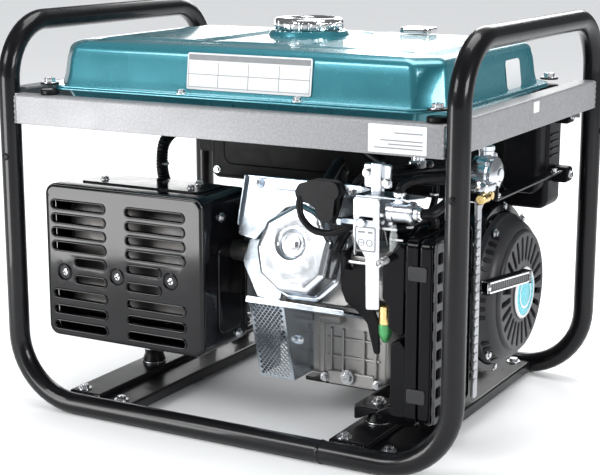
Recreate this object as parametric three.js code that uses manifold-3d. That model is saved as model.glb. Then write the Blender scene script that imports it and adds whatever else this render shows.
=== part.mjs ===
// Open-frame petrol generator: a bent tube frame that carries a pressed steel fuel tank, a single-cylinder
// engine with a recoil starter, an alternator, a boxed muffler and a control box at the back.
// Millimetres, +Z up. X runs along the crankshaft with the recoil starter at +X, -Y is the engine's front,
// and the origin is on the floor under the middle of the frame.
import * as THREE from 'three';
import { mergeVertices } from 'three/addons/utils/BufferGeometryUtils.js';
import Module from 'manifold-3d';

const wasm = await Module();
wasm.setup();

// ---- driving dimensions -------------------------------------------------------------------------------
const LENGTH = 681;
const WIDTH = 510;
const HEIGHT = 545;
const TUBE = 28.6; // frame tube, outer diameter
const GAP = 0.35; // between pieces that touch
const SHEET = 1.5; // pressed covers
const BAR = { high: 39, leg: 25, thick: 3 }; // angle iron round the tank
const FRONT_BAR_TOP = 436.5;
const END_BAR_TOP = 444;
const CRANK = { y: 62, z: 172 };
const SLANT = THREE.MathUtils.degToRad(18); // cylinder axis above the horizontal, towards the front
const TANK = { mid: 4, x: 285, front: -215, back: 150, corner: 30, seam: 447.5, top: 509, bottom: 388 };
const NECK = { outer: 30, bore: 26, top: 526 }; // the tank's filler neck, on the origin
const GAUGE = [128, 80]; // float gauge, X and Y
const MUFFLER = { left: -284, right: -30, bottom: 104, top: 316, front: -228, back: -112 };
const EXHAUST_PORT = [-150, 236]; // Y and Z
const SHAFT = 16; // crankshaft radius
const CYLINDER = { left: 45, right: 160, mid: 102, deck: 168, head: 236 }; // the last two lie along its axis
const ROCKER_COVER = { x: 86, n: 5, foot: 258, face: 280 }; // its middle, and its two levels along the axis
const PLUG = { x: 112, s: 224 }; // spark plug: X, and its place along the cylinder's axis
const THROAT = [-176, 252]; // carburettor throat, Y and Z
const AIR_CLEANER = { front: -212, back: -85, bottom: 58, top: 292, left: 247, split: 265, right: 286 };
const GRIP = { at: [305, -22, 204], turn: THREE.MathUtils.degToRad(15) };
const MOUNTS = [
  ['front_left', -226, -60], ['rear_left', -226, 184], ['front_right', 181, -140], ['rear_right', 181, 184],
];
const CONTROL = { left: -275, right: 285, bottom: 262, top: 430, face: 231 };
const SOCKETS = { x: [-20, 70], z: 330, outer: 24, bore: 19 };
const TABS = [300, 384]; // foot of the control box's fixing tabs, Z

const tubeR = TUBE / 2;
const postX = LENGTH / 2 - tubeR;
const postY = WIDTH / 2 - tubeR;
const topZ = HEIGHT - tubeR;

// ---- materials ----------------------------------------------------------------------------------------
const finish = (color, roughness, metalness) => new THREE.MeshStandardMaterial({ color, roughness, metalness });
const blackPaint = finish(0x1a1b1e, 0.35, 0.1);
const greyPaint = finish(0x6d6c70, 0.45, 0.3);
const tealPaint = finish(0x3d8fa0, 0.3, 0.3);
const chrome = finish(0xd0d2d4, 0.1, 1);
const zinc = finish(0xaab6bd, 0.3, 0.9);
const castAluminium = finish(0x9c9893, 0.55, 0.8);
const blackPlastic = finish(0x232426, 0.45, 0);
const rubber = finish(0x151516, 0.8, 0);
const steel = finish(0x8d8f92, 0.35, 1);
const copper = finish(0xa5643a, 0.5, 0.8);
const paper = finish(0xd8cfae, 0.9, 0);
const whitePlate = finish(0xe4e7e9, 0.35, 0.4);
const gold = finish(0xb59a5a, 0.35, 0.8);
const orange = finish(0xd8742a, 0.5, 0);
const blueLid = finish(0x2f62a8, 0.5, 0);

// ---- solids -------------------------------------------------------------------------------------------

// A closed geometry as a manifold solid, with its faces pointing out.
function solid(geometry) {
  const bare = new THREE.BufferGeometry();
  bare.setAttribute('position', geometry.getAttribute('position').clone());
  if (geometry.index) bare.setIndex(geometry.index.clone());
  const merged = mergeVertices(bare, 1e-4);
  const vertProperties = merged.attributes.position.array;
  const make = (triVerts) => new wasm.Manifold(new wasm.Mesh({ numProp: 3, vertProperties, triVerts }));
  const tris = new Uint32Array(merged.index.array);
  const made = make(tris);
  if (made.volume() > 0) return made;
  for (let i = 0; i < tris.length; i += 3) [tris[i + 1], tris[i + 2]] = [tris[i + 2], tris[i + 1]];
  return make(tris);
}

function geometryOf(made) {
  const mesh = made.getMesh();
  const geometry = new THREE.BufferGeometry();
  geometry.setAttribute('position', new THREE.BufferAttribute(Float32Array.from(mesh.vertProperties), 3));
  geometry.setIndex(new THREE.BufferAttribute(Uint32Array.from(mesh.triVerts), 1));
  geometry.computeVertexNormals();
  return geometry;
}

const join = (...solids) => solids.reduce((a, b) => a.add(b));
const cut = (first, ...tools) => tools.reduce((a, b) => a.subtract(b), first);

const box = (x0, x1, y0, y1, z0, z1) =>
  solid(new THREE.BoxGeometry(x1 - x0, y1 - y0, z1 - z0).translate((x0 + x1) / 2, (y0 + y1) / 2, (z0 + z1) / 2));

// A rod along an axis: from and to are places on that axis, [u, v] the centre in the other two, in X, Y, Z order.
function rod(axis, radius, from, to, [u, v], sides = 20, endRadius = radius) {
  const geometry = new THREE.CylinderGeometry(endRadius, radius, to - from, sides);
  geometry.translate(0, (from + to) / 2, 0);
  if (axis === 'x') geometry.rotateZ(-Math.PI / 2).translate(0, u, v);
  if (axis === 'y') geometry.translate(u, 0, v);
  if (axis === 'z') geometry.rotateX(Math.PI / 2).translate(u, v, 0);
  return solid(geometry);
}

const axes = (x, y, z) => new THREE.Matrix4().makeBasis(new THREE.Vector3(...x), new THREE.Vector3(...y),
  new THREE.Vector3(...z));

const shapeOf = (points) => new THREE.Shape(points.map(([u, v]) => new THREE.Vector2(u, v)));

function extrude(shape, depth, basis) {
  const geometry = new THREE.ExtrudeGeometry(shape, { depth, bevelEnabled: false, curveSegments: 4 });
  return solid(geometry.applyMatrix4(basis));
}

// Prisms: an outline in the other two axes, carried from one place to another along the named axis.
const prismX = (shape, x0, x1) =>
  extrude(shape, x1 - x0, axes([0, 1, 0], [0, 0, 1], [1, 0, 0]).setPosition(x0, 0, 0));
const prismY = (shape, y0, y1) =>
  extrude(shape, y1 - y0, axes([1, 0, 0], [0, 0, 1], [0, -1, 0]).setPosition(0, y1, 0));
const prismZ = (shape, z0, z1) =>
  extrude(shape, z1 - z0, axes([1, 0, 0], [0, 1, 0], [0, 0, 1]).setPosition(0, 0, z0));

// A rectangle with cut corners, as points that run anticlockwise from the lower left.
function chamfered(u0, u1, v0, v1, c) {
  return [[u0 + c, v0], [u1 - c, v0], [u1, v0 + c], [u1, v1 - c], [u1 - c, v1], [u0 + c, v1], [u0, v1 - c],
    [u0, v0 + c]];
}

// A closed skin through rings of equal length, flat at both ends.
function loft(rings) {
  const count = rings[0].length;
  const positions = rings.flat(2);
  const index = [];
  for (let r = 0; r + 1 < rings.length; r += 1) {
    for (let i = 0; i < count; i += 1) {
      const j = (i + 1) % count;
      const [a, b, c, d] = [r * count + i, r * count + j, (r + 1) * count + j, (r + 1) * count + i];
      index.push(a, b, c, a, c, d);
    }
  }
  const last = (rings.length - 1) * count;
  const flat = rings[0].map(([x, y]) => new THREE.Vector2(x, y));
  for (const [i, j, k] of THREE.ShapeUtils.triangulateShape(flat, [])) {
    index.push(i, k, j, last + i, last + j, last + k);
  }
  const geometry = new THREE.BufferGeometry();
  geometry.setAttribute('position', new THREE.Float32BufferAttribute(positions, 3));
  return solid(geometry.setIndex(index));
}

// ---- bent tubes, hoses and leads ----------------------------------------------------------------------

// A route through listed points, with one section of the tube at each of them.
class Route extends THREE.Curve {
  constructor(points) {
    super();
    this.points = points;
  }

  getPoint(t) {
    const place = t * (this.points.length - 1);
    const i = Math.min(Math.floor(place), this.points.length - 2);
    return this.points[i].clone().lerp(this.points[i + 1], place - i);
  }

  getPointAt(u) {
    return this.getPoint(u);
  }

  getTangentAt(u) {
    const i = Math.round(u * (this.points.length - 1));
    const before = this.points[Math.max(i - 1, 0)];
    const after = this.points[Math.min(i + 1, this.points.length - 1)];
    return after.clone().sub(before).normalize();
  }
}

// The corners of a route rounded to a bend radius, each by steps short chords.
function bent(corners, radius, steps = 6) {
  const points = corners.map((p) => new THREE.Vector3(...p));
  const route = [points[0]];
  for (let i = 1; i + 1 < points.length; i += 1) {
    const back = points[i - 1].clone().sub(points[i]).normalize();
    const on = points[i + 1].clone().sub(points[i]).normalize();
    const half = back.angleTo(on) / 2;
    const reach = radius / Math.tan(half);
    const inward = back.clone().add(on).normalize();
    const centre = points[i].clone().addScaledVector(inward, radius / Math.sin(half));
    const from = points[i].clone().addScaledVector(back, reach).sub(centre);
    const to = points[i].clone().addScaledVector(on, reach).sub(centre);
    const turn = from.angleTo(to);
    for (let s = 0; s <= steps; s += 1) {
      const share = s / steps;
      const p = from.clone().multiplyScalar(Math.sin((1 - share) * turn) / Math.sin(turn));
      route.push(p.addScaledVector(to, Math.sin(share * turn) / Math.sin(turn)).add(centre));
    }
  }
  route.push(points.at(-1));
  return route;
}

// The section's flats lie at the radius, and one of them faces down on a level run.
function tube(points, radius, sides) {
  const corner = radius / Math.cos(Math.PI / sides);
  const section = new THREE.Shape(Array.from({ length: sides }, (_, i) => {
    const angle = ((i + 0.5) / sides) * Math.PI * 2;
    return new THREE.Vector2(Math.cos(angle) * corner, Math.sin(angle) * corner);
  }));
  return solid(new THREE.ExtrudeGeometry(section, { extrudePath: new Route(points), steps: points.length - 1 }));
}

// A hose: a smooth curve through a few points, as a tube.
const hose = (places, radius, steps = 14) =>
  tube(new THREE.CatmullRomCurve3(places.map((p) => new THREE.Vector3(...p))).getPoints(steps), radius, 8);

// ---- the model ----------------------------------------------------------------------------------------
const generator = new THREE.Group();
generator.name = 'generator';

function add(name, made, material) {
  const mesh = new THREE.Mesh(geometryOf(made), material);
  mesh.name = name;
  generator.add(mesh);
}

// Two bent halves of one tube frame, welded end to end in the bottom runs at the front and the back.
function frameHoops() {
  const seamX = 150;
  const bottomBend = 92;
  const topBend = 78;
  const half = (side, endX) => {
    const x = side * postX;
    const lower = bent([[endX, -postY, tubeR], [x, -postY, tubeR], [x, -postY, HEIGHT / 2]], bottomBend);
    const middle = HEIGHT / 2;
    const upper = bent([[x, -postY, middle], [x, -postY, topZ], [x, postY, topZ], [x, postY, middle]], topBend);
    const rear = bent([[x, postY, HEIGHT / 2], [x, postY, tubeR], [endX, postY, tubeR]], bottomBend);
    return tube([...lower.slice(0, -1), ...upper.slice(1, -1), ...rear.slice(1)], tubeR, 12);
  };
  add('left_hoop', half(-1, seamX - GAP / 2), blackPaint);
  add('right_hoop', half(1, seamX + GAP / 2), blackPaint);
}

// Angle irons round the tank: the front and end ones are welded between the posts.
function tankBars() {
  const { high, leg, thick } = BAR;
  const outer = 8.3; // of each bar's face beyond the posts' middle
  const angle = (u, side, top) => shapeOf([
    [u, top - high], [u - side * thick, top - high], [u - side * thick, top - thick],
    [u - side * leg, top - thick], [u - side * leg, top], [u, top],
  ]);
  const frontX = postX - tubeR - 0.5;
  const endY = postY - tubeR - 0.4;
  add('front_tank_bar', prismX(angle(-postY - outer, -1, FRONT_BAR_TOP), -frontX, frontX), greyPaint);
  add('left_tank_bar', prismY(angle(-postX - outer, -1, END_BAR_TOP), -endY, endY), greyPaint);
  add('right_tank_bar', prismY(angle(postX + outer, 1, END_BAR_TOP), -endY, endY), greyPaint);
  const backX = postX + outer - thick - GAP;
  add('rear_tank_bar', prismX(angle(175, 1, FRONT_BAR_TOP), -backX, backX), greyPaint);
}

// Stepped floor rails from the front run of the frame to the back one.
function crossRails() {
  const profile = [[0, 6], [2.5, 6], [2.5, 25.5], [49.5, 25.5], [49.5, 18.5], [97.5, 18.5], [97.5, 6], [100, 6],
    [100, 21], [52, 21], [52, 28], [0, 28]];
  const reach = postY - tubeR - 0.4;
  for (const [name, left] of [['left_cross_rail', -253], ['right_cross_rail', 153]]) {
    add(name, prismY(shapeOf(profile.map(([x, z]) => [x + left, z])), -reach, reach), blackPaint);
  }
}

// Rubber engine mounts that stand on the rails, and the bracket that joins the engine's feet to the right pair.
function engineMounts() {
  for (const [name, x, y] of MOUNTS) {
    add(`rubber_mount_${name}`, rod('z', 17, 28 + GAP, 50, [x, y], 16, 13), rubber);
  }
  const pad = (y) => box(156, 198, y - 22, y + 22, 50 + GAP, 54);
  const cross = (y) => box(20, 160, y, y + 24, 34, 39.5);
  const spine = join(cross(-48), cross(120), box(156, 160, -162, 206, 34, 54));
  add('engine_cradle', join(spine, pad(-140), pad(184)), blackPaint);
}

// The tank: two pressed shells that meet in a flange, with the filler neck and its collar on the upper one.
function fuelTank() {
  const { mid, x, front, back, corner, seam, top, bottom } = TANK;
  const ring = (z, inset, left = inset) =>
    chamfered(mid - x + left, mid + x - inset, front + inset, back - inset, corner).map(([u, v]) => [u, v, z]);
  const wall = 2;
  const flangeShape = shapeOf(chamfered(mid - x - 14, mid + x + 14, front - 21, back + 14, 14));
  const upperOut = loft([ring(seam, 0), ring(top - 8, 10), ring(top - 2, 14), ring(top, 22)]);
  const upperIn = loft([ring(seam - 3, wall), ring(top - 8 - wall, 10 + wall), ring(top - wall, 22 + wall)]);
  const panel = loft([ring(top - 1, 52), ring(top + 3, 60)]);
  const collar = rod('z', 53, top + 1, top + 9, [0, 0], 24, 50);
  const neck = rod('z', NECK.outer, top, NECK.top, [0, 0], 20);
  const upper = join(cut(join(prismZ(flangeShape, seam, seam + wall), upperOut), upperIn), panel, collar, neck);
  add('fuel_tank_upper', cut(upper, rod('z', NECK.bore, top - 20, NECK.top + 10, [0, 0], 20)), tealPaint);

  const low = [ring(seam - GAP, 2), ring(bottom + 16, 14, 44), ring(bottom, 30, 66)];
  const lowIn = [ring(seam + 3, 2 + wall), ring(bottom + 16 + wall, 14 + wall, 44 + wall),
    ring(bottom + wall, 30 + wall, 66 + wall)];
  const lower = cut(join(prismZ(flangeShape, seam - GAP - wall, seam - GAP), loft(low)), loft(lowIn));
  add('fuel_tank_lower', lower, tealPaint);
}

// Filler cap with its gasket, and the float gauge.
function fuelCapAndGauge() {
  const { outer, top } = NECK;
  const opening = rod('z', 24, top - 20, top + 10, [0, 0], 20);
  const gasket = cut(rod('z', outer, top + GAP, top + 2.3, [0, 0], 20), opening);
  add('fuel_cap_gasket', gasket, rubber);
  const body = rod('z', 48, top - 7.4, top + 8.5, [0, 0], 32, 46.5);
  const cap = cut(body, rod('z', outer + 1, top - 16, top + 2.7, [0, 0], 20));
  add('fuel_cap', cap, chrome);

  const [gx, gy] = GAUGE;
  const gz = TANK.top + 3 + GAP;
  const housing = prismZ(shapeOf(chamfered(gx - 23, gx + 23, gy - 18, gy + 18, 5)), gz, gz + 8);
  add('fuel_gauge_housing', cut(housing, rod('z', 15, gz + 3, gz + 20, [gx, gy], 20)), chrome);
  add('fuel_gauge_needle', box(gx - 1, gx + 1, gy - 3, gy + 12, gz + 4, gz + 5), orange);
}

// The muffler, its housing and the slotted guard in front of it.
function muffler() {
  const { left, right, bottom, top, front, back } = MUFFLER;
  const split = -206;
  const tailPipe = [-160, 272];
  const outline = (inset) => shapeOf(chamfered(left + inset, right - inset, bottom + inset, top - inset, 6));
  const tray = (inset, y0, y1) => prismY(outline(inset), y0, y1);

  const slot = (x0, x1, z) => prismY(shapeOf(chamfered(x0, x1, z - 5.5, z + 5.5, 3)), front - 5, split);
  const longRows = [288, 269, 250, 231, 164, 142, 120];
  const shortRows = [211, 187];
  const slots = longRows.flatMap((z) => [slot(-274, -184, z), slot(-150, -59, z)])
    .concat(shortRows.flatMap((z) => [slot(-236, -184, z), slot(-150, -95, z)]));
  add('muffler_guard', cut(tray(0, front, split), tray(SHEET, front + SHEET, split + 5), ...slots), blackPaint);

  const housing = cut(tray(1, split + GAP, back), tray(1 + SHEET, split - 5, back - SHEET),
    rod('x', 20, right - 10, right + 10, EXHAUST_PORT, 16), rod('x', 15, left - 10, left + 10, tailPipe, 16));
  add('muffler_shield', housing, blackPaint);

  const can = prismX(shapeOf(chamfered(-194, -124, bottom + 18, top - 18, 26)), left + 16, right - 18);
  const hollow = prismX(shapeOf(chamfered(-191, -127, bottom + 21, top - 21, 25)), left + 19, right - 21);
  const inlet = rod('x', 14, right - 20, CYLINDER.left - GAP, EXHAUST_PORT, 14);
  const tail = rod('x', 11, left - 14, left + 18, tailPipe, 14);
  const outlet = rod('x', 9, left - 20, left + 30, tailPipe, 14);
  add('muffler_body', cut(join(can, inlet, tail), hollow, outlet), steel);
}

// ---- engine -------------------------------------------------------------------------------------------

// The cylinder's own frame: X, then up square to its axis, then out along its axis from the crankshaft.
const cylinderFrame = axes(
  [1, 0, 0], [0, Math.sin(SLANT), Math.cos(SLANT)], [0, -Math.cos(SLANT), Math.sin(SLANT)],
).setPosition(0, CRANK.y, CRANK.z);

const slanted = (geometry) => solid(geometry.applyMatrix4(cylinderFrame));
const slantedBox = (x0, x1, n0, n1, s0, s1) => slanted(new THREE.BoxGeometry(x1 - x0, n1 - n0, s1 - s0)
  .translate((x0 + x1) / 2, (n0 + n1) / 2, (s0 + s1) / 2));
const slantedPrism = (shape, s0, s1) =>
  slanted(new THREE.ExtrudeGeometry(shape, { depth: s1 - s0, bevelEnabled: false }).translate(0, 0, s0));
const slantedRod = (radius, s0, s1, x, n, sides) => slanted(
  new THREE.CylinderGeometry(radius, radius, s1 - s0, sides).rotateX(Math.PI / 2).translate(x, n, (s0 + s1) / 2),
);

function crankcase() {
  const { y, z } = CRANK;
  const { left, right, mid, deck } = CYLINDER;
  const outline = [[-52, 40], [150, 40], [158, 70], [158, 190], [128, 244], [40, 262], [-34, 262], [-52, 120]];
  const foot = box(46, 150, -58, 150, 40, 52);
  const body = prismX(shapeOf(outline), 46, 150);
  const barrel = slantedBox(mid - 46, mid + 46, -50, 50, 60, deck);
  const fins = [124, 138, 152].map((s) => slantedBox(left, right, -60, 60, s, s + 5));
  const filler = rod('y', 15, 150, 172, [122, 84], 14);
  const cavity = rod('x', 64, 52, 144, [y, z], 24);
  const bore = slantedRod(44, deck - 110, deck + 10, mid, 0, 24);
  const shaftHole = rod('x', SHAFT + 1, 0, 200, [y, z], 20);
  const dipHole = rod('y', 5, 100, 200, [122, 84], 12);
  const casting = join(body, foot, barrel, filler, ...fins);
  add('crankcase', cut(casting, cavity, bore, shaftHole, dipHole), castAluminium);

  const plate = prismX(shapeOf(outline.map(([u, v]) => [u * 0.97 + 2, v * 0.97 + 5])), 24, 46 - GAP);
  const bell = rod('x', 92, -18, 30, [y, z], 28);
  const inside = rod('x', 64, -30, 18, [y, z], 24);
  add('crankcase_cover', cut(join(plate, bell), inside, shaftHole), castAluminium);

  const cap = rod('y', 14, 172 + GAP, 186, [122, 84], 14);
  add('oil_dipstick', join(cap, rod('y', 4, 128, 174, [122, 84], 8)), blackPlastic);
}

// Piston, finned head with its spark plug, tin cowls and the many-sided rocker cover.
function cylinderTop() {
  const { left, right, mid, deck, head } = CYLINDER;
  add('piston', cut(slantedRod(43.8, 88, 136, mid, 0, 24), slantedRod(36, 80, 126, mid, 0, 20)), castAluminium);

  const fins = [174, 188, 202, 216].map((s) => slantedBox(left, right, -60, 60, s, s + 5));
  const core = slantedBox(mid - 46, mid + 46, -50, 50, deck + GAP, head);
  const rim = slantedBox(left, right, -60, 60, head - 6, head);
  const port = slantedBox(left, left + 20, -20, 20, 196, 230);
  const intake = slantedBox(right - 20, right, -4, 40, 200, 230);
  const chamber = slantedRod(30, 150, 178, mid, 0, 18);
  add('cylinder_head', cut(join(core, rim, port, intake, ...fins), chamber), castAluminium);
  const plug = slanted(new THREE.CylinderGeometry(5, 8, 30, 12).translate(PLUG.x, 60 + GAP + 15, PLUG.s));
  add('spark_plug', plug, zinc);

  const { x, n, foot, face } = ROCKER_COVER;
  const outline = [[-47, 34], [-58, -6], [-46, -42], [-14, -64], [26, -62], [50, -36], [56, 14], [38, 50],
    [0, 64]];
  const scaled = (share, along) => shapeOf(outline.map(([u, v]) => [x + along + u * share, n + v * share]));
  const crown = slantedPrism(scaled(0.84, -3), foot - 6, face);
  const shell = join(slantedPrism(scaled(1, 0), head + GAP, foot), crown);
  const hollow = slantedPrism(scaled(0.75, -3), head - 6, foot + 4);
  const dimple = slantedRod(17, face - 8, face + 10, x - 2, n + 3, 20);
  const bolt = slantedRod(8, foot + 2, face - 1, x - 2, n + 3, 6);
  add('valve_cover', join(cut(shell, hollow, dimple), bolt), chrome);

  const cowl = join(
    slantedBox(-10, right + 6, 90, 92, 120, 262),
    slantedBox(-10, -8, 24, 92, 120, 262),
    slantedBox(-10, 30, 62, 92, 260, 262),
    slantedBox(right + 4, right + 6, 66, 92, 120, 262),
  );
  const plugHole = slanted(new THREE.CylinderGeometry(10, 10, 12, 12).translate(PLUG.x, 91, PLUG.s));
  add('cylinder_shroud', cut(cowl, plugHole), zinc);
}

// The air outlet's mesh-fronted duct under the cylinder.
function outletGuard() {
  const [x0, x1] = [-14, 40];
  const side = shapeOf([[-126, 58], [-70, 58], [-70, 150], [-150, 172], [-156, 150]]);
  const inner = shapeOf([[-120, 40], [-60, 40], [-60, 200], [-149.5, 166], [-153.5, 150], [-124, 60]]);
  const holes = [];
  for (let z = 74; z < 146; z += 14) holes.push(box(x0 + 6, x1 - 6, -170, -100, z, z + 8));
  add('outlet_mesh_guard', cut(prismX(side, x0, x1), prismX(inner, x0 + 1.5, x1 - 1.5), ...holes), zinc);
}

// Crankshaft with its rotor at the left end and flywheel at the right end.
function rotatingParts() {
  const { y, z } = CRANK;
  const shaft = rod('x', SHAFT, -262, 250, [y, z], 20);
  const web = (x) => rod('x', 46, x, x + 16, [y, z], 24);
  const pin = rod('x', 15, 80, 124, [y - 30 * Math.cos(SLANT), z + 30 * Math.sin(SLANT)], 16);
  add('crankshaft', join(shaft, web(68), web(120), pin), steel);
  const hub = (radius, x0, x1) =>
    cut(rod('x', radius, x0, x1, [y, z], 28), rod('x', SHAFT + GAP, x0 - 5, x1 + 5, [y, z], 20));
  add('rotor', hub(61, -212, -48), copper);
  const blades = [];
  for (let i = 0; i < 8; i += 1) {
    const blade = new THREE.BoxGeometry(22, 4, 34).translate(236, 0, 70).rotateX((i / 8) * Math.PI * 2);
    blades.push(solid(blade.translate(0, y, z)));
  }
  add('flywheel', join(hub(88, 196, 228), ...blades), castAluminium);
}

// Cooling-fan housing, the recoil starter's cover in front of it, and the pull grip.
function blowerAndStarter() {
  const { y, z } = CRANK;
  const housing = join(rod('x', 118, 168, 262, [y, z], 28, 110), box(168, 220, y - 150, y, z - 20, z + 108));
  const hollow = join(rod('x', 106, 160, 258, [y, z], 28, 104), box(160, 216, y - 146, y, z - 16, z + 104));
  const mouth = rod('x', 96, 250, 270, [y, z], 28);
  add('blower_housing', cut(housing, hollow, mouth), blackPaint);

  const shell = join(rod('x', 104, 262 + GAP, 276, [y, z], 28, 98), rod('x', 98, 276, 297, [y, z], 28, 84));
  const inside = join(rod('x', 94, 255, 275, [y, z], 28), rod('x', 92, 274, 294, [y, z], 28, 80));
  const spokes = [];
  for (let i = 0; i < 12; i += 1) {
    const gap = new THREE.BoxGeometry(20, 9, 24).translate(296, 0, 62).rotateX((i / 12) * Math.PI * 2);
    spokes.push(solid(gap.translate(0, y, z)));
  }
  add('recoil_cover', cut(shell, inside, ...spokes), blackPlastic);

  const flange = (x) => rod('x', 62, x, x + 5, [y, z], 24);
  const drum = join(flange(274), rod('x', 44, 279, 287, [y, z], 24), flange(287));
  add('recoil_drum', drum, blackPlastic);

  const bar = new THREE.ExtrudeGeometry(shapeOf(chamfered(-7, 7, -9, 9, 3)), { depth: 96, bevelEnabled: false });
  bar.applyMatrix4(axes([1, 0, 0], [0, 0, 1], [0, -1, 0])).translate(0, 48, 0);
  bar.rotateZ(-GRIP.turn).translate(...GRIP.at);
  const root = rod('x', 4, 297.4, GRIP.at[0] + 3, [GRIP.at[1] + 14, GRIP.at[2]], 10);
  add('starter_grip', join(solid(bar), root), blackPlastic);
}

// Carburettor, its shut-off solenoid, the choke panel and lever, and the air cleaner at the right.
function fuelAndAir() {
  const { front, back, bottom, top, left, split, right } = AIR_CLEANER;
  const throat = rod('x', 14, CYLINDER.right + GAP, left - 0.5, THROAT, 16);
  const block = box(188, 238, -200, -152, 230, 274);
  const bowl = rod('z', 22, 202, 232, [212, -176], 18);
  add('carburetor', join(throat, block, bowl), castAluminium);
  add('fuel_solenoid', rod('z', 8, 160, 202 - GAP, [207, -184], 14), gold);

  const panel = shapeOf([[178, 335], [178, 288], [195, 262], [196, 197], [214, 199], [213, 336]]);
  const fold = box(178, 213, -211, -160, 333, 335);
  add('choke_panel', join(prismY(panel, -212, -210), fold), whitePlate);
  const arm = join(rod('y', 6, -217, -212 - GAP, [190, 306], 12), box(164, 190, -217, -214, 303, 309),
    box(162, 168, -226, -214, 302, 310));
  add('choke_lever', arm, zinc);

  const outline = (inset) => shapeOf(chamfered(front + inset, back - inset, bottom + inset, top - inset, 8));
  const tray = (inset, x0, x1) => prismX(outline(inset), x0, x1);
  const intake = rod('x', 11, left - 7, left + 5, THROAT, 14);
  add('air_cleaner_case', cut(tray(0, left, split), tray(2, left + 2, split + 5), intake), blackPlastic);
  add('air_cleaner_cover', cut(tray(0, split + GAP, right), tray(2, split - 5, right - 2)), blackPlastic);
  add('air_filter_element', tray(6, left + 5, right - 4), paper);
}

// Hoses and leads that run between the parts.
function linesAndLeads() {
  const boot = slanted(new THREE.CylinderGeometry(9, 9, 24, 12).translate(PLUG.x, 90 + GAP + GAP + 14, PLUG.s));
  const lead = hose([[112, -119, 350], [112, -116, 356], [124, -106, 362], [152, -88, 352], [182, -64, 326],
    [188, -54, 288]], 4);
  add('spark_plug_lead', join(boot, lead), rubber);
  add('breather_hose', hose([[148, -200, 262], [156, -190, 284], [172, -186, 297], [206, -176, 300],
    [234, -160, 300], [248, -148, 304], [256, -146, 305], [257, -146, 295]], 6, 16), rubber);
  const cock = join(rod('z', 9, 360, TANK.bottom - GAP, [222, -120], 14), box(214, 230, -134, -112, 352, 372),
    rod('y', 4, -112, -96, [222, 362], 10));
  add('fuel_cock', cock, zinc);
  const lever = join(rod('y', 7, -140, -134 - GAP, [222, 362], 12), box(192, 222, -140, -137, 358, 366));
  add('fuel_cock_lever', lever, blackPlastic);
  add('fuel_hose', hose([[222, -96 + GAP, 362], [223, -82, 360], [228, -78, 338], [230, -92, 308],
    [226, -118, 290], [222, -130, 280], [220, -140, 274 + GAP + 4]], 4.5), rubber);
  add('output_cable', hose([[-204, -6, 268], [-200, -40, 282], [-190, -76, 304], [-186, -88, 334],
    [-186, -78, 362], [-190, -30, 374], [-196, 60, 374], [-200, 130, 372], [-200, 160, 371],
    [-200, 178 - GAP, 371]], 8, 22), rubber);
}

// The gas pressure regulator on its arm behind the front right post.
function gasRegulator() {
  const [x, y, z] = [282, -45, 348];
  const arm = join(box(288, 304, -58, 196 - GAP, 316, 319), box(288, 304, -58, -54, 316, 336));
  const body = join(rod('x', 27, x - 18, x + 18, [y, z], 20), rod('z', 11, z - 20, z + 38, [x, y], 14),
    rod('y', 8, y - 44, y, [x, z - 8], 12));
  add('gas_regulator', join(body, arm), zinc);
}

function alternator() {
  const { y, z } = CRANK;
  const ring = cut(rod('x', 95, -232, -18 - GAP, [y, z], 28), rod('x', 65, -240, 0, [y, z], 24));
  const leg = (y0, y1, z0, z1) => box(-226, -194, y0, y1, z0, z1);
  const feet = join(leg(y - 138, y + 138, z - 86, z - 80), leg(y - 60, y + 60, z - 92, z - 70),
    leg(-82, -38, 50 + GAP, z - 80), leg(162, 206, 50 + GAP, z - 80));
  add('stator_housing', join(ring, cut(feet, rod('x', 80, -300, 0, [y, z], 20))), castAluminium);
  const dome = join(rod('x', 95, -270, -232 - GAP, [y, z], 28), rod('x', 95, -270, -286, [y, z], 28, 84));
  const hollow = rod('x', 86, -266, -225, [y, z], 24);
  const vents = [];
  for (let i = 0; i < 10; i += 1) {
    const vent = new THREE.BoxGeometry(40, 9, 30).translate(-280, 0, 58).rotateX((i / 10) * Math.PI * 2);
    vents.push(solid(vent.translate(0, y, z)));
  }
  add('alternator_end_cover', cut(dome, hollow, ...vents), castAluminium);
}

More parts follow.
